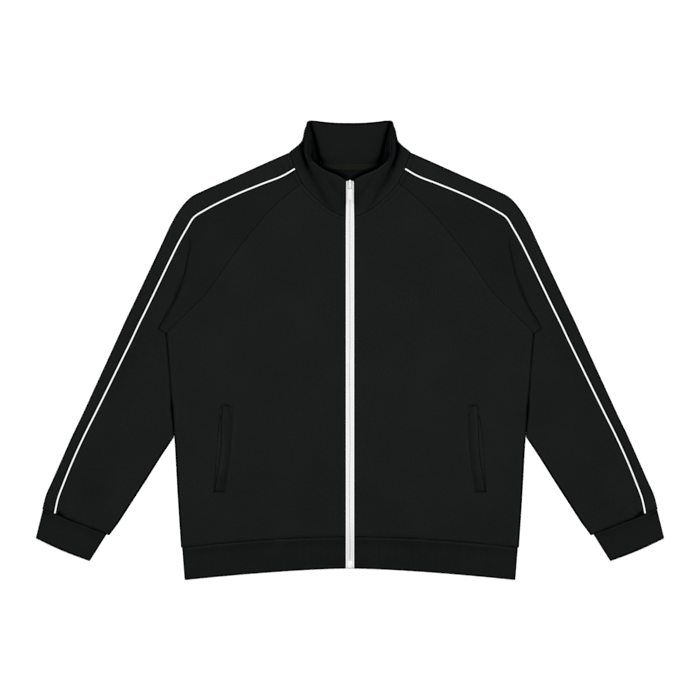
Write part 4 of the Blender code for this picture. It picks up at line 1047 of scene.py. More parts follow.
def wall(name, surface, thickness, material, ring=False, reverse=None, reverse_first=False):
    """A closed shell of cloth round a surface, with rounded rims, its flat cut as its UV map, and its painted shade.

    The reverse is the finish of its inner face, which is the grid's first face where reverse_first is true.
    """
    middle, shade = surface
    down, along = travelled(middle), travelled(middle.swapaxes(0, 1)).T
    rim = np.minimum(down, down[-1:] - down)
    if ring:
        way = (np.roll(middle, -1, axis=1) - np.roll(middle, 1, axis=1)) / 2
    else:
        rim = np.minimum(rim, np.minimum(along, along[:, -1:] - along))
        way = np.gradient(middle, axis=1)
    normal = np.cross(np.gradient(middle, axis=0), way)
    normal /= np.linalg.norm(normal, axis=2).clip(1e-9)[..., None]
    half = thickness / 2 * np.sqrt(1 - (1 - (rim * 2 / thickness).clip(0, 1)) ** 2).clip(0.12)
    points = np.stack([middle + normal * half[..., None], middle - normal * half[..., None]]).reshape(-1, 3) * MM
    faces = shell_faces(*shade.shape, ring)

    mesh = bpy.data.meshes.new(name)
    mesh.from_pydata(points.tolist(), [], np.concatenate(faces).tolist())
    flat = np.tile(np.stack([along, down], axis=-1).reshape(-1, 2) * MM, (2, 1))
    corners = np.empty(len(mesh.loops), int)
    mesh.loops.foreach_get("vertex_index", corners)
    mesh.uv_layers.new(name="cut").data.foreach_set("uv", flat[corners].ravel())
    dark = mesh.attributes.new("shade", "FLOAT", "POINT")
    dark.data.foreach_set("value", np.tile(shade.ravel(), 2).clip(-0.6, 0.99))
    mesh.shade_smooth()
    piece = link(name, mesh, material)
    if reverse:
        mesh.materials.append(reverse)
        inside = np.concatenate([np.full(len(part), k == 1 - reverse_first) for k, part in enumerate(faces)])
        mesh.polygons.foreach_set("material_index", inside.astype(int))
    return piece


def plate(name, outlines, thickness, bevel, material, lift=0.0):
    """A flat plate with rounded edges. The second outline and those after it are holes."""
    curve = bpy.data.curves.new(name + "_outline", "CURVE")
    curve.dimensions = "2D"
    curve.fill_mode = "BOTH"
    curve.extrude = (thickness / 2 - bevel) * MM
    curve.bevel_depth = bevel * MM
    curve.bevel_resolution = 3
    curve.offset = -bevel * MM
    for outline in outlines:
        ring = curve.splines.new("POLY")
        ring.points.add(len(outline) - 1)
        for point, (x, y) in zip(ring.points, outline):
            point.co = (x * MM, y * MM, 0, 1)
        ring.use_cyclic_u = True
    source = bpy.data.objects.new(name + "_outline", curve)
    bpy.context.scene.collection.objects.link(source)
    mesh = evaluated(source)
    solid = bmesh.new()
    solid.from_mesh(mesh)
    bmesh.ops.remove_doubles(solid, verts=solid.verts, dist=0.002 * MM)
    bmesh.ops.translate(solid, verts=solid.verts, vec=(0, 0, lift * MM))
    bmesh.ops.recalc_face_normals(solid, faces=solid.faces)
    solid.to_mesh(mesh)
    solid.free()
    mesh.set_sharp_from_angle(angle=math.radians(50))
    return link(name, mesh, material)


def rounded_outline(width, length, radius, centre=(0.0, 0.0), steps=6):
    """A rectangle with round corners, as plan points."""
    points = []
    for sx, sy, first in ((1, 1, 0), (-1, 1, 90), (-1, -1, 180), (1, -1, 270)):
        for k in range(steps + 1):
            turn = math.radians(first + 90 * k / steps)
            points.append((centre[0] + sx * (width / 2 - radius) + radius * math.cos(turn),
                           centre[1] + sy * (length / 2 - radius) + radius * math.sin(turn)))
    return points


def place_in_mesh(piece, matrix):
    piece.data.transform(matrix)
    piece.data.update()


def joined(name, parts):
    """One piece made of several meshes that keep their materials."""
    solid = bmesh.new()
    for part in parts:
        solid.from_mesh(part.data)
    mesh = bpy.data.meshes.new(name)
    solid.to_mesh(mesh)
    solid.free()
    material = parts[0].data.materials[0]
    for part in parts:
        bpy.data.objects.remove(part)
    return link(name, mesh, material)


def mirrored(half):
    """A closed outline from its half at +X, which runs from top to bottom."""
    return [(-x, y) for x, y in half] + list(reversed(half))


def inset(outline, by):
    """An outline drawn in towards its middle, by about this much."""
    points = np.array(outline)
    middle = (points.max(axis=0) + points.min(axis=0)) / 2
    half = (points.max(axis=0) - points.min(axis=0)) / 2
    return [tuple(point) for point in middle + (points - middle) * (1 - by / half)]


def slider_frame():
    return Matrix.Translation(Vector((0, *SLIDER_SEAT)) * MM) @ Matrix.Rotation(SLIDER_TILT, 4, "X")


def zip_slider(material):
    """The slider: a pressed plate with a raised rim over the tapes, and the bridge that holds the pull tab."""
    outline = mirrored(SLIDER_OUTLINE)
    rim_width, rim_height = SLIDER_RIM
    top = SEAM_GAP + SLIDER_THICKNESS - rim_height
    body = plate("slider_plate", [outline], SLIDER_THICKNESS - rim_height, 0.35, material, (SEAM_GAP + top) / 2)
    rim = plate("slider_rim", [outline, inset(outline, rim_width)], 2 * rim_height, 0.15, material, top)
    width, length, height, wall_width = BRIDGE
    tunnel = height - wall_width
    arch = plate("slider_bridge", [
        rounded_outline(length, height + BRIDGE_SUNK, 1.2, (0.0, (height - BRIDGE_SUNK) / 2)),
        rounded_outline(length - 2 * wall_width, tunnel, 0.5, (0.0, tunnel / 2)),
    ], width, 0.4, material)
    upright = Matrix.Rotation(math.pi / 2, 4, "Z") @ Matrix.Rotation(math.pi / 2, 4, "X")
    place_in_mesh(arch, Matrix.Translation((0, 0, (SEAM_GAP + SLIDER_THICKNESS) * MM)) @ upright)
    slider = joined("zip_slider_metal", [body, rim, arch])
    place_in_mesh(slider, slider_frame())
    return slider


def zip_pull(material):
    """The pull tab: a smooth plate with a slot for the bridge, hanging from the joint's axis."""
    hole = rounded_outline(*PULL_HOLE, 0.9, (0.0, -PULL_HOLE[1] / 2 - 0.6))
    pull = plate("zip_pull_metal", [mirrored(PULL_OUTLINE), hole], PULL_THICKNESS, 0.45, material)
    lift = Matrix.Translation((0, 0, (SEAM_GAP + SLIDER_THICKNESS + PIVOT_HEIGHT) * MM))
    place_in_mesh(pull, slider_frame() @ lift @ Matrix.Rotation(PULL_DROOP, 4, "X"))
    return pull


def zip_box(material):
    """The box at the bottom of the zip, and the pin of the other tape in it."""
    width, length, thickness = ZIP_BOX
    outlines = [rounded_outline(width, length, 1.1), rounded_outline(*ZIP_BOX_EYE)]
    box = plate("zip_box_plate", outlines, thickness - 0.4, 0.35, material, -0.2)
    pin = plate("zip_box_pin", [rounded_outline(*ZIP_PIN)], 0.8, 0.35, material, thickness / 2 - 0.4)
    piece = joined("zip_box_metal", [box, pin])
    place_in_mesh(piece, Matrix.Translation(Vector((0, *ZIP_BOX_AT)) * MM))
    return piece


def settled(points, pieces):
    """Plan points set on top of what lies under them."""
    graph = bpy.context.evaluated_depsgraph_get()
    trees = [BVHTree.FromObject(piece, graph) for piece in pieces]
    on_top = []
    for x, y in points:
        hits = [tree.ray_cast(Vector((x * MM, y * MM, 0.1)), Vector((0, 0, -1)))[0] for tree in trees]
        heights = [hit.z for hit in hits if hit is not None]
        if heights:
            on_top.append((x, y, max(heights) / MM))
    return np.array(on_top)


# Geometry Nodes ----------------------------------------------------------------------------------------------


class NodeGroup:
    """A geometry node tree under construction, with its inputs by name."""

    def __init__(self, name, sizes):
        self.tree = bpy.data.node_groups.new(name, "GeometryNodeTree")
        face = self.tree.interface
        face.new_socket("Geometry", in_out="INPUT", socket_type="NodeSocketGeometry")
        for size in sizes:
            face.new_socket(size, in_out="INPUT", socket_type="NodeSocketFloat")
        face.new_socket("Material", in_out="INPUT", socket_type="NodeSocketMaterial")
        face.new_socket("Geometry", in_out="OUTPUT", socket_type="NodeSocketGeometry")
        self.given = self.tree.nodes.new("NodeGroupInput").outputs
        self.result = self.tree.nodes.new("NodeGroupOutput").inputs[0]

    def add(self, kind, settings=None, **inputs):
        """A node with its settings, and its sockets fed by values or by other nodes' outputs."""
        made = self.tree.nodes.new(kind)
        for key, value in (settings or {}).items():
            setattr(made, key, value)
        for key, value in inputs.items():
            socket = made.inputs[key.replace("_", " ")]
            if isinstance(value, bpy.types.NodeSocket):
                self.tree.links.new(value, socket)
            else:
                socket.default_value = value
        return made

    def end(self, geometry):
        real = self.add("GeometryNodeRealizeInstances", Geometry=geometry)
        done = self.add("GeometryNodeSetMaterial", Geometry=real.outputs[0], Material=self.given["Material"])
        self.tree.links.new(done.outputs[0], self.result)
        return self.tree


def row_tree():
    """Lays one bead of thread or wire after another along each line of its mesh."""
    group = NodeGroup("row_of_beads", ("Pitch", "Along", "Across", "Thickness"))
    path = group.add("GeometryNodeMeshToCurve", Mesh=group.given["Geometry"])
    dots = group.add("GeometryNodeResampleCurve", {"mode": "LENGTH"}, Curve=path.outputs[0],
                     Length=group.given["Pitch"])
    bead = group.add("GeometryNodeMeshUVSphere", Segments=8, Rings=5, Radius=0.5)
    size = group.add("ShaderNodeCombineXYZ", X=group.given["Along"], Y=group.given["Across"],
                     Z=group.given["Thickness"])
    tangent = group.add("GeometryNodeInputTangent")
    turn = group.add("FunctionNodeAlignRotationToVector", {"axis": "X"}, Vector=tangent.outputs[0])
    laid = group.add("GeometryNodeInstanceOnPoints", Points=dots.outputs[0], Instance=bead.outputs[0],
                     Rotation=turn.outputs[0], Scale=size.outputs[0])
    return group.end(laid.outputs[0])


def cord_tree():
    """Sweeps a round cord along each line of its mesh."""
    group = NodeGroup("piping_cord", ("Radius",))
    path = group.add("GeometryNodeMeshToCurve", Mesh=group.given["Geometry"])
    ring = group.add("GeometryNodeCurvePrimitiveCircle", Resolution=16, Radius=group.given["Radius"])
    swept = group.add("GeometryNodeCurveToMesh", Curve=path.outputs[0], Profile_Curve=ring.outputs[0], Fill_Caps=True)
    return group.end(swept.outputs[0])


def along_lines(name, lines, tree, sizes, material):
    """A plain mesh of what a node tree makes along some lines, which are in millimetres."""
    points, edges = [], []
    for line in lines:
        first = len(points)
        points += [tuple(point * MM) for point in line]
        edges += [(k, k + 1) for k in range(first, len(points) - 1)]
    source = link(name + "_path", bpy.data.meshes.new(name + "_path"), material)
    source.data.from_pydata(points, edges, [])
    worked = source.modifiers.new("Along", "NODES")
    worked.node_group = tree
    sockets = {item.name: item.identifier for item in tree.interface.items_tree if item.in_out == "INPUT"}
    for key, value in {**sizes, "Material": material}.items():
        worked[sockets[key]] = value
    return link(name, evaluated(source), material)


# Finishes ----------------------------------------------------------------------------------------------------


class Wire:
    """A shader socket that Python's arithmetic works on."""

    def __init__(self, finish, socket):
        self.finish, self.socket = finish, socket

    def _maths(self, operation, *values):
        return self.finish.node("ShaderNodeMath", {"operation": operation}, dict(enumerate(values)))

    def __add__(self, other):
        return self._maths("ADD", self, other)

    def __sub__(self, other):
        return self._maths("SUBTRACT", self, other)

    def __rsub__(self, other):
        return self._maths("SUBTRACT", other, self)

    def __mul__(self, other):
        return self._maths("MULTIPLY", self, other)

    __radd__ = __add__
    __rmul__ = __mul__

    def __pow__(self, other):
        return self._maths("POWER", self, other)

    def sine(self):
        return self._maths("SINE", self)

    def absolute(self):
        return self._maths("ABSOLUTE", self)

    def clamped(self):
        """This, but never below 0."""
        return self._maths("MAXIMUM", self, 0.0)

    def near(self, at, width):
        """1 where this is the given value, and less the further it is from it."""
        return self._maths("EXPONENT", ((self - at) * (1 / width)) ** 2 * -1.0)


class Finish:
    """One procedural material, with its surface shader and its nodes."""

    def __init__(self, name, roughness, specular):
        self.material = bpy.data.materials.new(name)
        self.material.use_nodes = True
        self.tree = self.material.node_tree
        self.shader = self.tree.nodes["Principled BSDF"]
        self.shader.inputs["Roughness"].default_value = roughness
        self.shader.inputs["Specular IOR Level"].default_value = specular

    def node(self, kind, settings=None, inputs=None, output=0):
        """A node's output, once its settings are set and its sockets fed by values or by other wires."""
        made = self.tree.nodes.new(kind)
        for key, value in (settings or {}).items():
            setattr(made, key, value)
        for key, value in (inputs or {}).items():
            self.feed(made.inputs[key], value)
        return Wire(self, made.outputs[output])

    def feed(self, socket, value):
        if isinstance(value, Wire):
            self.tree.links.new(value.socket, socket)
        else:
            socket.default_value = value

    def scale(self, vector, by):
        return self.node("ShaderNodeVectorMath", {"operation": "SCALE"}, {0: vector, "Scale": by})

    def parted(self, place):
        """A place, and its x and y."""
        x = self.node("ShaderNodeSeparateXYZ", inputs={0: place})
        return place, x, Wire(self, x.socket.node.outputs[1])

    def cut(self):
        """The place on the flat cut, in millimetres, and how far across and along it that is."""
        return self.parted(self.scale(self.node("ShaderNodeUVMap", {"uv_map": "cut"}), 1 / MM))

    def body(self):
        """The place on the jacket, in millimetres, and its x and y."""
        return self.parted(self.scale(self.node("ShaderNodeTexCoord", output=3), 1 / MM))

    def speckle(self, place, size, detail=2.0, roughness=0.5):
        """Noise from 0 to 1 with spots of this size in millimetres."""
        return self.node("ShaderNodeTexNoise", None,
                         {"Vector": place, "Scale": 1 / size, "Detail": detail, "Roughness": roughness})

    def tint(self, colour, dark, light, amount):
        """A colour between two factors of itself."""
        low, high = ((*(channel * factor for channel in colour), 1) for factor in (dark, light))
        return self.node("ShaderNodeMix", {"data_type": "RGBA"}, {0: amount, 6: low, 7: high}, output=2)

    def colour(self, value):
        self.feed(self.shader.inputs["Base Color"], value)

    def shaded(self, colour):
        """A colour, darker and a little bluer by the painted shade that the piece's mesh holds, and lighter where that
        is a painted highlight.
        """
        light = 1.0 - self.node("ShaderNodeAttribute", {"attribute_name": "shade"}, output=2)
        tinted = self.node("ShaderNodeCombineXYZ", None, {0: light, 1: light ** 1.05, 2: light ** 0.87})
        return self.node("ShaderNodeVectorMath", {"operation": "MULTIPLY"}, {0: colour, 1: tinted})

    def roughness(self, value):
        self.feed(self.shader.inputs["Roughness"], value)

    def bump(self, height, distance):
        """A relief whose height of 1 stands for this distance in millimetres."""
        relief = self.node("ShaderNodeBump", None, {"Height": height, "Distance": distance * MM, "Strength": 1.0})
        self.feed(self.shader.inputs["Normal"], relief)


def knit_finish(name, colour, gauge, ridge, mottle):
    """Smooth double knit: fine wales across the cloth, a soft fuzzy grain, slow changes in tone, and its painted shade.
    """
    finish = Finish(name, 0.92, 0.0)
    place, x, y = finish.cut()
    wale = (x * (2 * math.pi / gauge)).sine()
    course = (y * (2 * math.pi / (gauge * 0.8))).sine()
    fuzz = finish.speckle(place, 1.1, 3.0, 0.6)
    pile = finish.speckle(place, 3.2, 2.0)
    slow = finish.speckle(finish.body()[0], 90.0)
    tone = fuzz * 0.55 + pile * 0.3 + slow * 0.15
    finish.colour(finish.shaded(finish.tint(colour, 1 - mottle, 1 + mottle, (tone - 0.5) * 2.6 + 0.5)))
    finish.bump(wale * ridge + course * (ridge * 0.5) + fuzz * 0.8 + pile * 0.5, 0.12)
    finish.roughness(0.86 + fuzz * 0.12)
    return finish.material


def tape_finish(name, colour, rib, mottle, specular):
    """A woven tape: herringbone ribs that turn at each stripe, under its painted shade."""
    finish = Finish(name, 0.75, specular)
    place, x, y = finish.cut()
    zigzag = ((x * (math.pi / (rib * 4))).sine()).absolute() * (rib * 3)
    rows = ((y + zigzag) * (2 * math.pi / rib)).sine()
    fuzz = finish.speckle(place, 0.6, 2.0)
    finish.colour(finish.shaded(finish.tint(colour, 1 - mottle, 1 + mottle, rows * 0.3 + fuzz * 0.7)))
    finish.bump(rows * 0.5 + fuzz * 0.6, 0.08)
    finish.roughness(0.7 + fuzz * 0.15)
    return finish.material


def thread_finish(name, colour, twist):
    """Cord or thread, with the lay of its strands."""
    finish = Finish(name, 0.7, 0.25)
    place, x, y = finish.body()
    lay = ((x + y) * (2 * math.pi / twist)).sine()
    fuzz = finish.speckle(place, 0.8, 2.0)
    finish.colour(finish.tint(colour, 0.93, 1.04, lay * 0.25 + fuzz * 0.75))
    finish.bump(lay * 0.5 + fuzz * 0.5, 0.08)
    finish.roughness(0.66 + fuzz * 0.15)
    return finish.material


def moulded_finish(name, colour, gap_shadow=None):
    """Painted zip metal: smooth and satin, a touch uneven, and darker by a painted shadow in the gap round a bridge."""
    finish = Finish(name, 0.42, 0.45)
    place, x, y = finish.body()
    wear = finish.speckle(place, 2.5, 3.0)
    paint = finish.tint(colour, 0.95, 1.02, wear)
    if gap_shadow:
        top, radius, width, dark = gap_shadow
        below = (top - y).clamped()
        paint = finish.scale(paint, 1.0 - ((x ** 2 + below ** 2) ** 0.5).near(radius, width) * dark)
    finish.colour(paint)
    finish.bump(finish.speckle(place, 0.5, 2.0), 0.01)
    finish.roughness(0.36 + wear * 0.16)
    return finish.material


def floor_finish(colour):
    """The pale surface that the jacket lies on."""
    finish = Finish("floor", 0.9, 0.0)
    finish.colour(finish.tint(colour, 0.995, 1.0, finish.speckle(finish.body()[0], 400.0)))
    return finish.material


# The pieces' finishes: what makes each, the settings that hold its colour, how dark it is beside that, and the rest
FINISHES = {
    "jacket_knit": (knit_finish, "jacket_cloth", "colour", 1.0, 0.95, 0.35, 0.42),
    # The reverse's darker, bluer colour is painted shade where it shows inside the neck
    "jacket_knit_reverse": (knit_finish, "jacket_cloth", "reverse_colour", 1.0, 1.1, 0.6, 0.2),
    "band_knit": (knit_finish, "jacket_cloth", "band_colour", 1.0, 1.3, 0.6, 0.34),
    "hem_knit": (knit_finish, "jacket_cloth", "hem_colour", 1.0, 1.3, 0.6, 0.46),
    "neck_tape_weave": (tape_finish, "jacket_cloth", "neck_tape_colour", 1.0, 1.1, 0.2, 0.0),
    "sewing_thread": (thread_finish, "jacket_cloth", "colour", 0.8, 0.6),
    "piping_white": (thread_finish, "jacket_trim", "piping_colour", 1.0, 2.4),
    "zip_tape_weave": (tape_finish, "jacket_trim", "zip_colour", 1.0, 0.9, 0.06, 0.25),
    "zip_white": (moulded_finish, "jacket_trim", "metal_colour", 1.0),
    "zip_slider_white": (moulded_finish, "jacket_trim", "metal_colour", 1.0, BRIDGE_GAP_SHADOW),
}


def finish_named(name):
    """A finish, which is made for the first piece that asks for it."""
    maker, group, setting, factor, *values = FINISHES[name]
    colour = [channel * factor for channel in getattr(getattr(bpy.context.scene, group), setting)]
    return bpy.data.materials.get(name) or maker(name, colour, *values)


def sewn(piece, body, slot, *nodes):
    """Sets a piece in the frame: what it moves with, and the solids it stands for, which it hides. Its slot is not
    used.
    """
    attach(piece, body)
    if nodes:
        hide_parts(*nodes)
    return piece


def cloth_piece(node, surface, thickness, finish, slot, flat, rests_on, area=None, reverse=None, **faces):
    """A cloth piece in the place of its solid. The width, length and area of its flat cut, in metres, are not used."""
    inner = reverse and finish_named(reverse)
    piece = wall(f"{node}_cloth", surface, thickness, finish_named(finish), reverse=inner, **faces)
    sewn(piece, GARMENT, slot, node)


def cloth_pair(node, left, *values, **others):
    """The same cloth piece on the wearer's left and right."""
    for (side, _), surface in zip(SIDES, (left, twin(left))):
        cloth_piece(f"{node}_{side}", surface, *values, **others)


# Settings ----------------------------------------------------------------------------------------------------


# What every colour's setting has beside its name, description and default
COLOUR = {"subtype": "COLOR", "size": 3, "min": 0, "max": 1}


class JacketCloth(bpy.types.PropertyGroup):
    """The colours of the cloth."""

    colour: bpy.props.FloatVectorProperty(
        name="Cloth colour", description="Base colour of the fronts, back and sleeves",
        **COLOUR, default=(0.0097, 0.0109, 0.0103))
    band_colour: bpy.props.FloatVectorProperty(
        name="Band colour", description="Base colour of the collar and cuffs",
        **COLOUR, default=(0.0082, 0.0093, 0.0088))
    hem_colour: bpy.props.FloatVectorProperty(
        name="Hem band colour", description="Base colour of the hem band",
        **COLOUR, default=(0.0076, 0.0086, 0.0081))
    # The inner face is darker and bluer than the face, as painted shade where it shows inside the neck
    reverse_colour: bpy.props.FloatVectorProperty(
        name="Reverse colour", description="Base colour of the cloth's inner face",
        **COLOUR, default=(0.0050, 0.0056, 0.0064))
    neck_tape_colour: bpy.props.FloatVectorProperty(
        name="Neck tape colour", description="Base colour of the tape inside the neck",
        **COLOUR, default=(0.0102, 0.0114, 0.0082))


class JacketTrim(bpy.types.PropertyGroup):
    """The piping, the zip and the stitching."""

    piping_colour: bpy.props.FloatVectorProperty(
        name="Piping colour", description="Base colour of the piping on the sleeves",
        **COLOUR, default=(0.96, 0.96, 0.96))
    zip_colour: bpy.props.FloatVectorProperty(
        name="Zip colour", description="Base colour of the zip's tapes",
        **COLOUR, default=(0.74, 0.74, 0.74))
    metal_colour: bpy.props.FloatVectorProperty(
        name="Zip part colour", description="Base colour of the zip's coil, slider, pull tab and box",
        **COLOUR, default=(0.66, 0.66, 0.66))
    stitch_pitch: bpy.props.FloatProperty(
        name="Stitch pitch", description="Distance from one stitch to the next", unit="LENGTH",
        min=0.0005, default=0.0030)
    stitch_length: bpy.props.FloatProperty(
        name="Stitch length", description="Length of the thread that shows of each stitch", unit="LENGTH",
        min=0.0002, default=0.0023)
    thread: bpy.props.FloatProperty(
        name="Thread", description="Thickness of the sewing thread", unit="LENGTH", min=0.0001, default=0.0004)
    coil_pitch: bpy.props.FloatProperty(
        name="Coil pitch", description="Distance from one loop of the zip's coil to the next", unit="LENGTH",
        min=0.0005, default=0.0016)


class JacketStage(bpy.types.PropertyGroup):
    """The floor, the lights and the camera."""

    floor_colour: bpy.props.FloatVectorProperty(
        name="Floor colour", description="Base colour of the floor",
        **COLOUR, default=(0.93, 0.93, 0.93))
    view_width: bpy.props.FloatProperty(
        name="View width", description="Width of floor that the camera takes in", unit="LENGTH",
        min=0.1, default=1.155)
    lens: bpy.props.FloatProperty(
        name="Lens", description="Focal length of the camera in millimetres", min=10, default=200)
    light: bpy.props.FloatProperty(
        name="Light", description="Power of the soft light over the jacket", unit="POWER", min=0, default=125)
    fill: bpy.props.FloatProperty(
        name="Fill", description="Brightness of the surroundings", min=0, default=0.05)


# Operators ---------------------------------------------------------------------------------------------------


class JACKET_OT_sew_body(bpy.types.Operator):
    """Cut and sew the two fronts and the back"""

    bl_idname = "jacket.sew_body"
    bl_label = "Body"

    def execute(self, context):
        guides = sleeve_guides()
        back = both_halves(back_grid(guides))
        cloth_pair("front", front_grid(guides), CLOTH, "jacket_knit", "cloth", (0.30, 0.60), ["back_cloth"], 0.1425,
                   reverse="jacket_knit_reverse")
        cloth_piece("back", back, CLOTH, "jacket_knit", "cloth", (0.61, 0.66), ["floor"], 0.314,
                    reverse="jacket_knit_reverse")
        return {"FINISHED"}


class JACKET_OT_sew_sleeves(bpy.types.Operator):
    """Cut and sew the raglan sleeves, each in a front and a back half"""

    bl_idname = "jacket.sew_sleeves"
    bl_label = "Sleeves"

    def execute(self, context):
        guides = sleeve_guides()
        halves = (("front", sleeve_front_grid(guides), (0.13, 0.71), 0.059),
                  ("back", sleeve_back_grid(guides), (0.19, 0.74), 0.088))
        for half, left, flat, area in halves:
            cloth_pair(f"sleeve_{half}", left, CLOTH, "jacket_knit", "cloth", flat, ["floor"], area,
                       reverse="jacket_knit_reverse", reverse_first=half == "front")
        return {"FINISHED"}


class JACKET_OT_lay_piping(bpy.types.Operator):
    """Lay the piping between the halves of each sleeve"""

    bl_idname = "jacket.lay_piping"
    bl_label = "Piping"

    def execute(self, context):
        guides = sleeve_guides()
        middle = crowned(guides["piping"][:, None], guides)[:, 0]
        line = with_height(guides["piping"], middle + PIPING_PROUD)[2:-3]
        white, tree = finish_named("piping_white"), cord_tree()
        for side, sign in SIDES:
            path = on_side(line, sign)
            piece = along_lines(f"piping_{side}_cord", [path], tree, {"Radius": PIPING / 2 * MM}, white)
            sewn(piece, GARMENT, "piping", f"piping_{side}")
        return {"FINISHED"}


class JACKET_OT_set_collar(bpy.types.Operator):
    """Set the stand collar, and the tape over the seam inside its back"""

    bl_idname = "jacket.set_collar"
    bl_label = "Collar"

    def execute(self, context):
        collar = both_halves(collar_grid(sleeve_guides()))
        cloth_piece("collar", collar, BAND, "band_knit", "band", (0.545, 0.058), ["front_left_cloth", "back_cloth"],
                    0.026)
        tape = both_halves(neck_tape_grid())
        cloth_piece("neck_tape", tape, NECK_TAPE, "neck_tape_weave", "neck_tape", (0.14, 0.012), ["back_cloth"])
        return {"FINISHED"}


class JACKET_OT_fold_bands(bpy.types.Operator):
    """Fold the hem band and the cuffs"""

    bl_idname = "jacket.fold_bands"
    bl_label = "Hem band and cuffs"

    def execute(self, context):
        cloth_piece("hem_band", both_halves(hem_band_grid()), BAND, "hem_knit", "band", (1.10, 0.054), ["floor"])
        cloth_pair("cuff", cuff_grid(), BAND, "band_knit", "band", (0.21, 0.050), ["floor"], ring=True)
        return {"FINISHED"}


class JACKET_OT_set_pockets(bpy.types.Operator):
    """Set the welts of the slanted pockets"""

    bl_idname = "jacket.set_pockets"
    bl_label = "Pocket welts"

    def execute(self, context):
        welt = welt_grid()
        for (side, _), surface in zip(SIDES, (welt, twin(welt))):
            cloth_piece(f"pocket_welt_{side}", surface, WELT, "jacket_knit", "cloth", (0.019, 0.144),
                        [f"front_{side}_cloth"])
        return {"FINISHED"}


class JACKET_OT_fit_zip(bpy.types.Operator):
    """Fit the zip: two tapes, the coil under them, the box, the slider and the pull tab"""

    bl_idname = "jacket.fit_zip"
    bl_label = "Zip"

    def execute(self, context):
        line = zip_line(collar_grid(sleeve_guides())[0])
        white, coil = finish_named("zip_white"), row_tree()
        loop = {"Pitch": context.scene.jacket_trim.coil_pitch, **COIL_LOOP}
        for side, sign in SIDES:
            cloth_piece(f"zip_tape_{side}", zip_tape_grid(line, sign), TAPE, "zip_tape_weave", "zip_tape",
                        (0.010, 0.64), ["back_cloth"], 0.0044)
            under = np.stack([np.full(len(line), sign * COIL_OUT), line[:, 0], line[:, 1] - COIL_DOWN], axis=1)
            sewn(along_lines(f"zip_coil_{side}", [under[:-3]], coil, loop, white), GARMENT, "zip_parts")
        sewn(zip_slider(finish_named("zip_slider_white")), GARMENT, "zip_parts", "zip_slider")
        sewn(zip_pull(white), PULL, "zip_parts", "zip_pull")
        sewn(zip_box(white), GARMENT, "zip_parts", "zip_box")
        return {"FINISHED"}


class JACKET_OT_topstitch(bpy.types.Operator):
    """Sew the rows of stitches that show"""

    bl_idname = "jacket.topstitch"
    bl_label = "Topstitching"

    def execute(self, context):
        trim = context.scene.jacket_trim
        neck = evenly(np.concatenate([NECK_LINE, [SLEEVE[0].piping, SLEEVE[0].fold]]), np.linspace(0.01, 0.99, 140))
        way = np.gradient(neck, axis=0)
        out = np.stack([way[:, 1], -way[:, 0]], axis=1) / np.linalg.norm(way, axis=1)[:, None]
        row = neck + out * TOPSTITCH_AT
        lines = []
        for side, sign in SIDES:
            under = [bpy.data.objects[f"{name}_{side}_cloth"] for name in ("front", "sleeve_front", "sleeve_back")]
            lines.append(settled(on_side(row, sign), under))
        stitch = {"Pitch": trim.stitch_pitch, "Along": trim.stitch_length, "Across": trim.thread,
                  "Thickness": trim.thread}
        piece = along_lines("neck_topstitch", lines, row_tree(), stitch, finish_named("sewing_thread"))
        sewn(piece, GARMENT, "cloth")
        return {"FINISHED"}


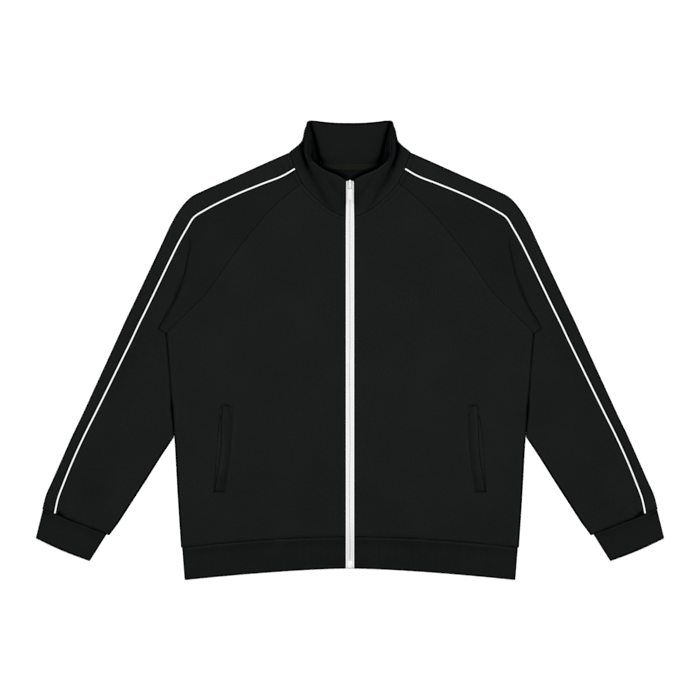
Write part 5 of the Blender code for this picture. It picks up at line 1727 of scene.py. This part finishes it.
class JACKET_OT_set_stage(bpy.types.Operator):
    """Set the floor, the lights and the camera over the jacket"""

    bl_idname = "jacket.set_stage"
    bl_label = "Stage"

    def execute(self, context):
        stage = context.scene.jacket_stage
        mesh = bpy.data.meshes.new("floor")
        corners = [(sx * FLOOR_REACH, sy * FLOOR_REACH, -FLOOR_DROP) for sx, sy in ((-1, -1), (1, -1), (1, 1), (-1, 1))]
        mesh.from_pydata(corners, [], [(0, 1, 2, 3)])
        floor = link("floor", mesh, floor_finish(tuple(stage.floor_colour)))
        floor.visible_diffuse = False
        floor.visible_glossy = False

        world = bpy.data.worlds.new("surroundings")
        world.use_nodes = True
        sky = world.node_tree.nodes["Background"]
        sky.inputs["Color"].default_value = (1, 1, 1, 1)
        sky.inputs["Strength"].default_value = stage.fill
        context.scene.world = world

        lamp = bpy.data.lights.new("overhead", "AREA")
        lamp.shape = "DISK"
        lamp.size = LAMP_WIDTH
        lamp.energy = stage.light
        over = bpy.data.objects.new("overhead", lamp)
        over.location = (0.0, 0.0, LAMP_HEIGHT)
        context.scene.collection.objects.link(over)

        camera = bpy.data.cameras.new("camera")
        camera.lens = stage.lens
        height = stage.view_width * stage.lens / camera.sensor_width
        camera.clip_end = 4 * height
        seen = bpy.data.objects.new("camera", camera)
        seen.location = (0.0, 0.0, height)
        context.scene.collection.objects.link(seen)
        context.scene.camera = seen
        context.scene.view_settings.view_transform = "Standard"
        return {"FINISHED"}


class JACKET_PT_panel(bpy.types.Panel):
    """The jacket's pieces, in the order in which they are sewn"""

    bl_label = "Track jacket"
    bl_idname = "JACKET_PT_panel"
    bl_space_type = "VIEW_3D"
    bl_region_type = "UI"
    bl_category = "Jacket"

    def draw(self, context):
        for group in (context.scene.jacket_cloth, context.scene.jacket_trim, context.scene.jacket_stage):
            box = self.layout.box()
            for name in group.__annotations__:
                box.prop(group, name)
        for operator in OPERATORS:
            self.layout.operator(operator.bl_idname)


SETTINGS = {"jacket_cloth": JacketCloth, "jacket_trim": JacketTrim, "jacket_stage": JacketStage}
OPERATORS = (JACKET_OT_sew_body, JACKET_OT_sew_sleeves, JACKET_OT_lay_piping, JACKET_OT_set_collar,
             JACKET_OT_fold_bands, JACKET_OT_set_pockets, JACKET_OT_fit_zip, JACKET_OT_topstitch,
             JACKET_OT_set_stage)


def register():
    for made in (*SETTINGS.values(), *OPERATORS, JACKET_PT_panel):
        bpy.utils.register_class(made)
    for name, group in SETTINGS.items():
        setattr(bpy.types.Scene, name, bpy.props.PointerProperty(type=group))


def unregister():
    for name in SETTINGS:
        delattr(bpy.types.Scene, name)
    for made in (JACKET_PT_panel, *OPERATORS[::-1], *SETTINGS.values()):
        bpy.utils.unregister_class(made)


def main():
    register()
    for operator in OPERATORS:
        group, name = operator.bl_idname.split(".")
        getattr(getattr(bpy.ops, group), name)()


if __name__ == "__main__":
    main()
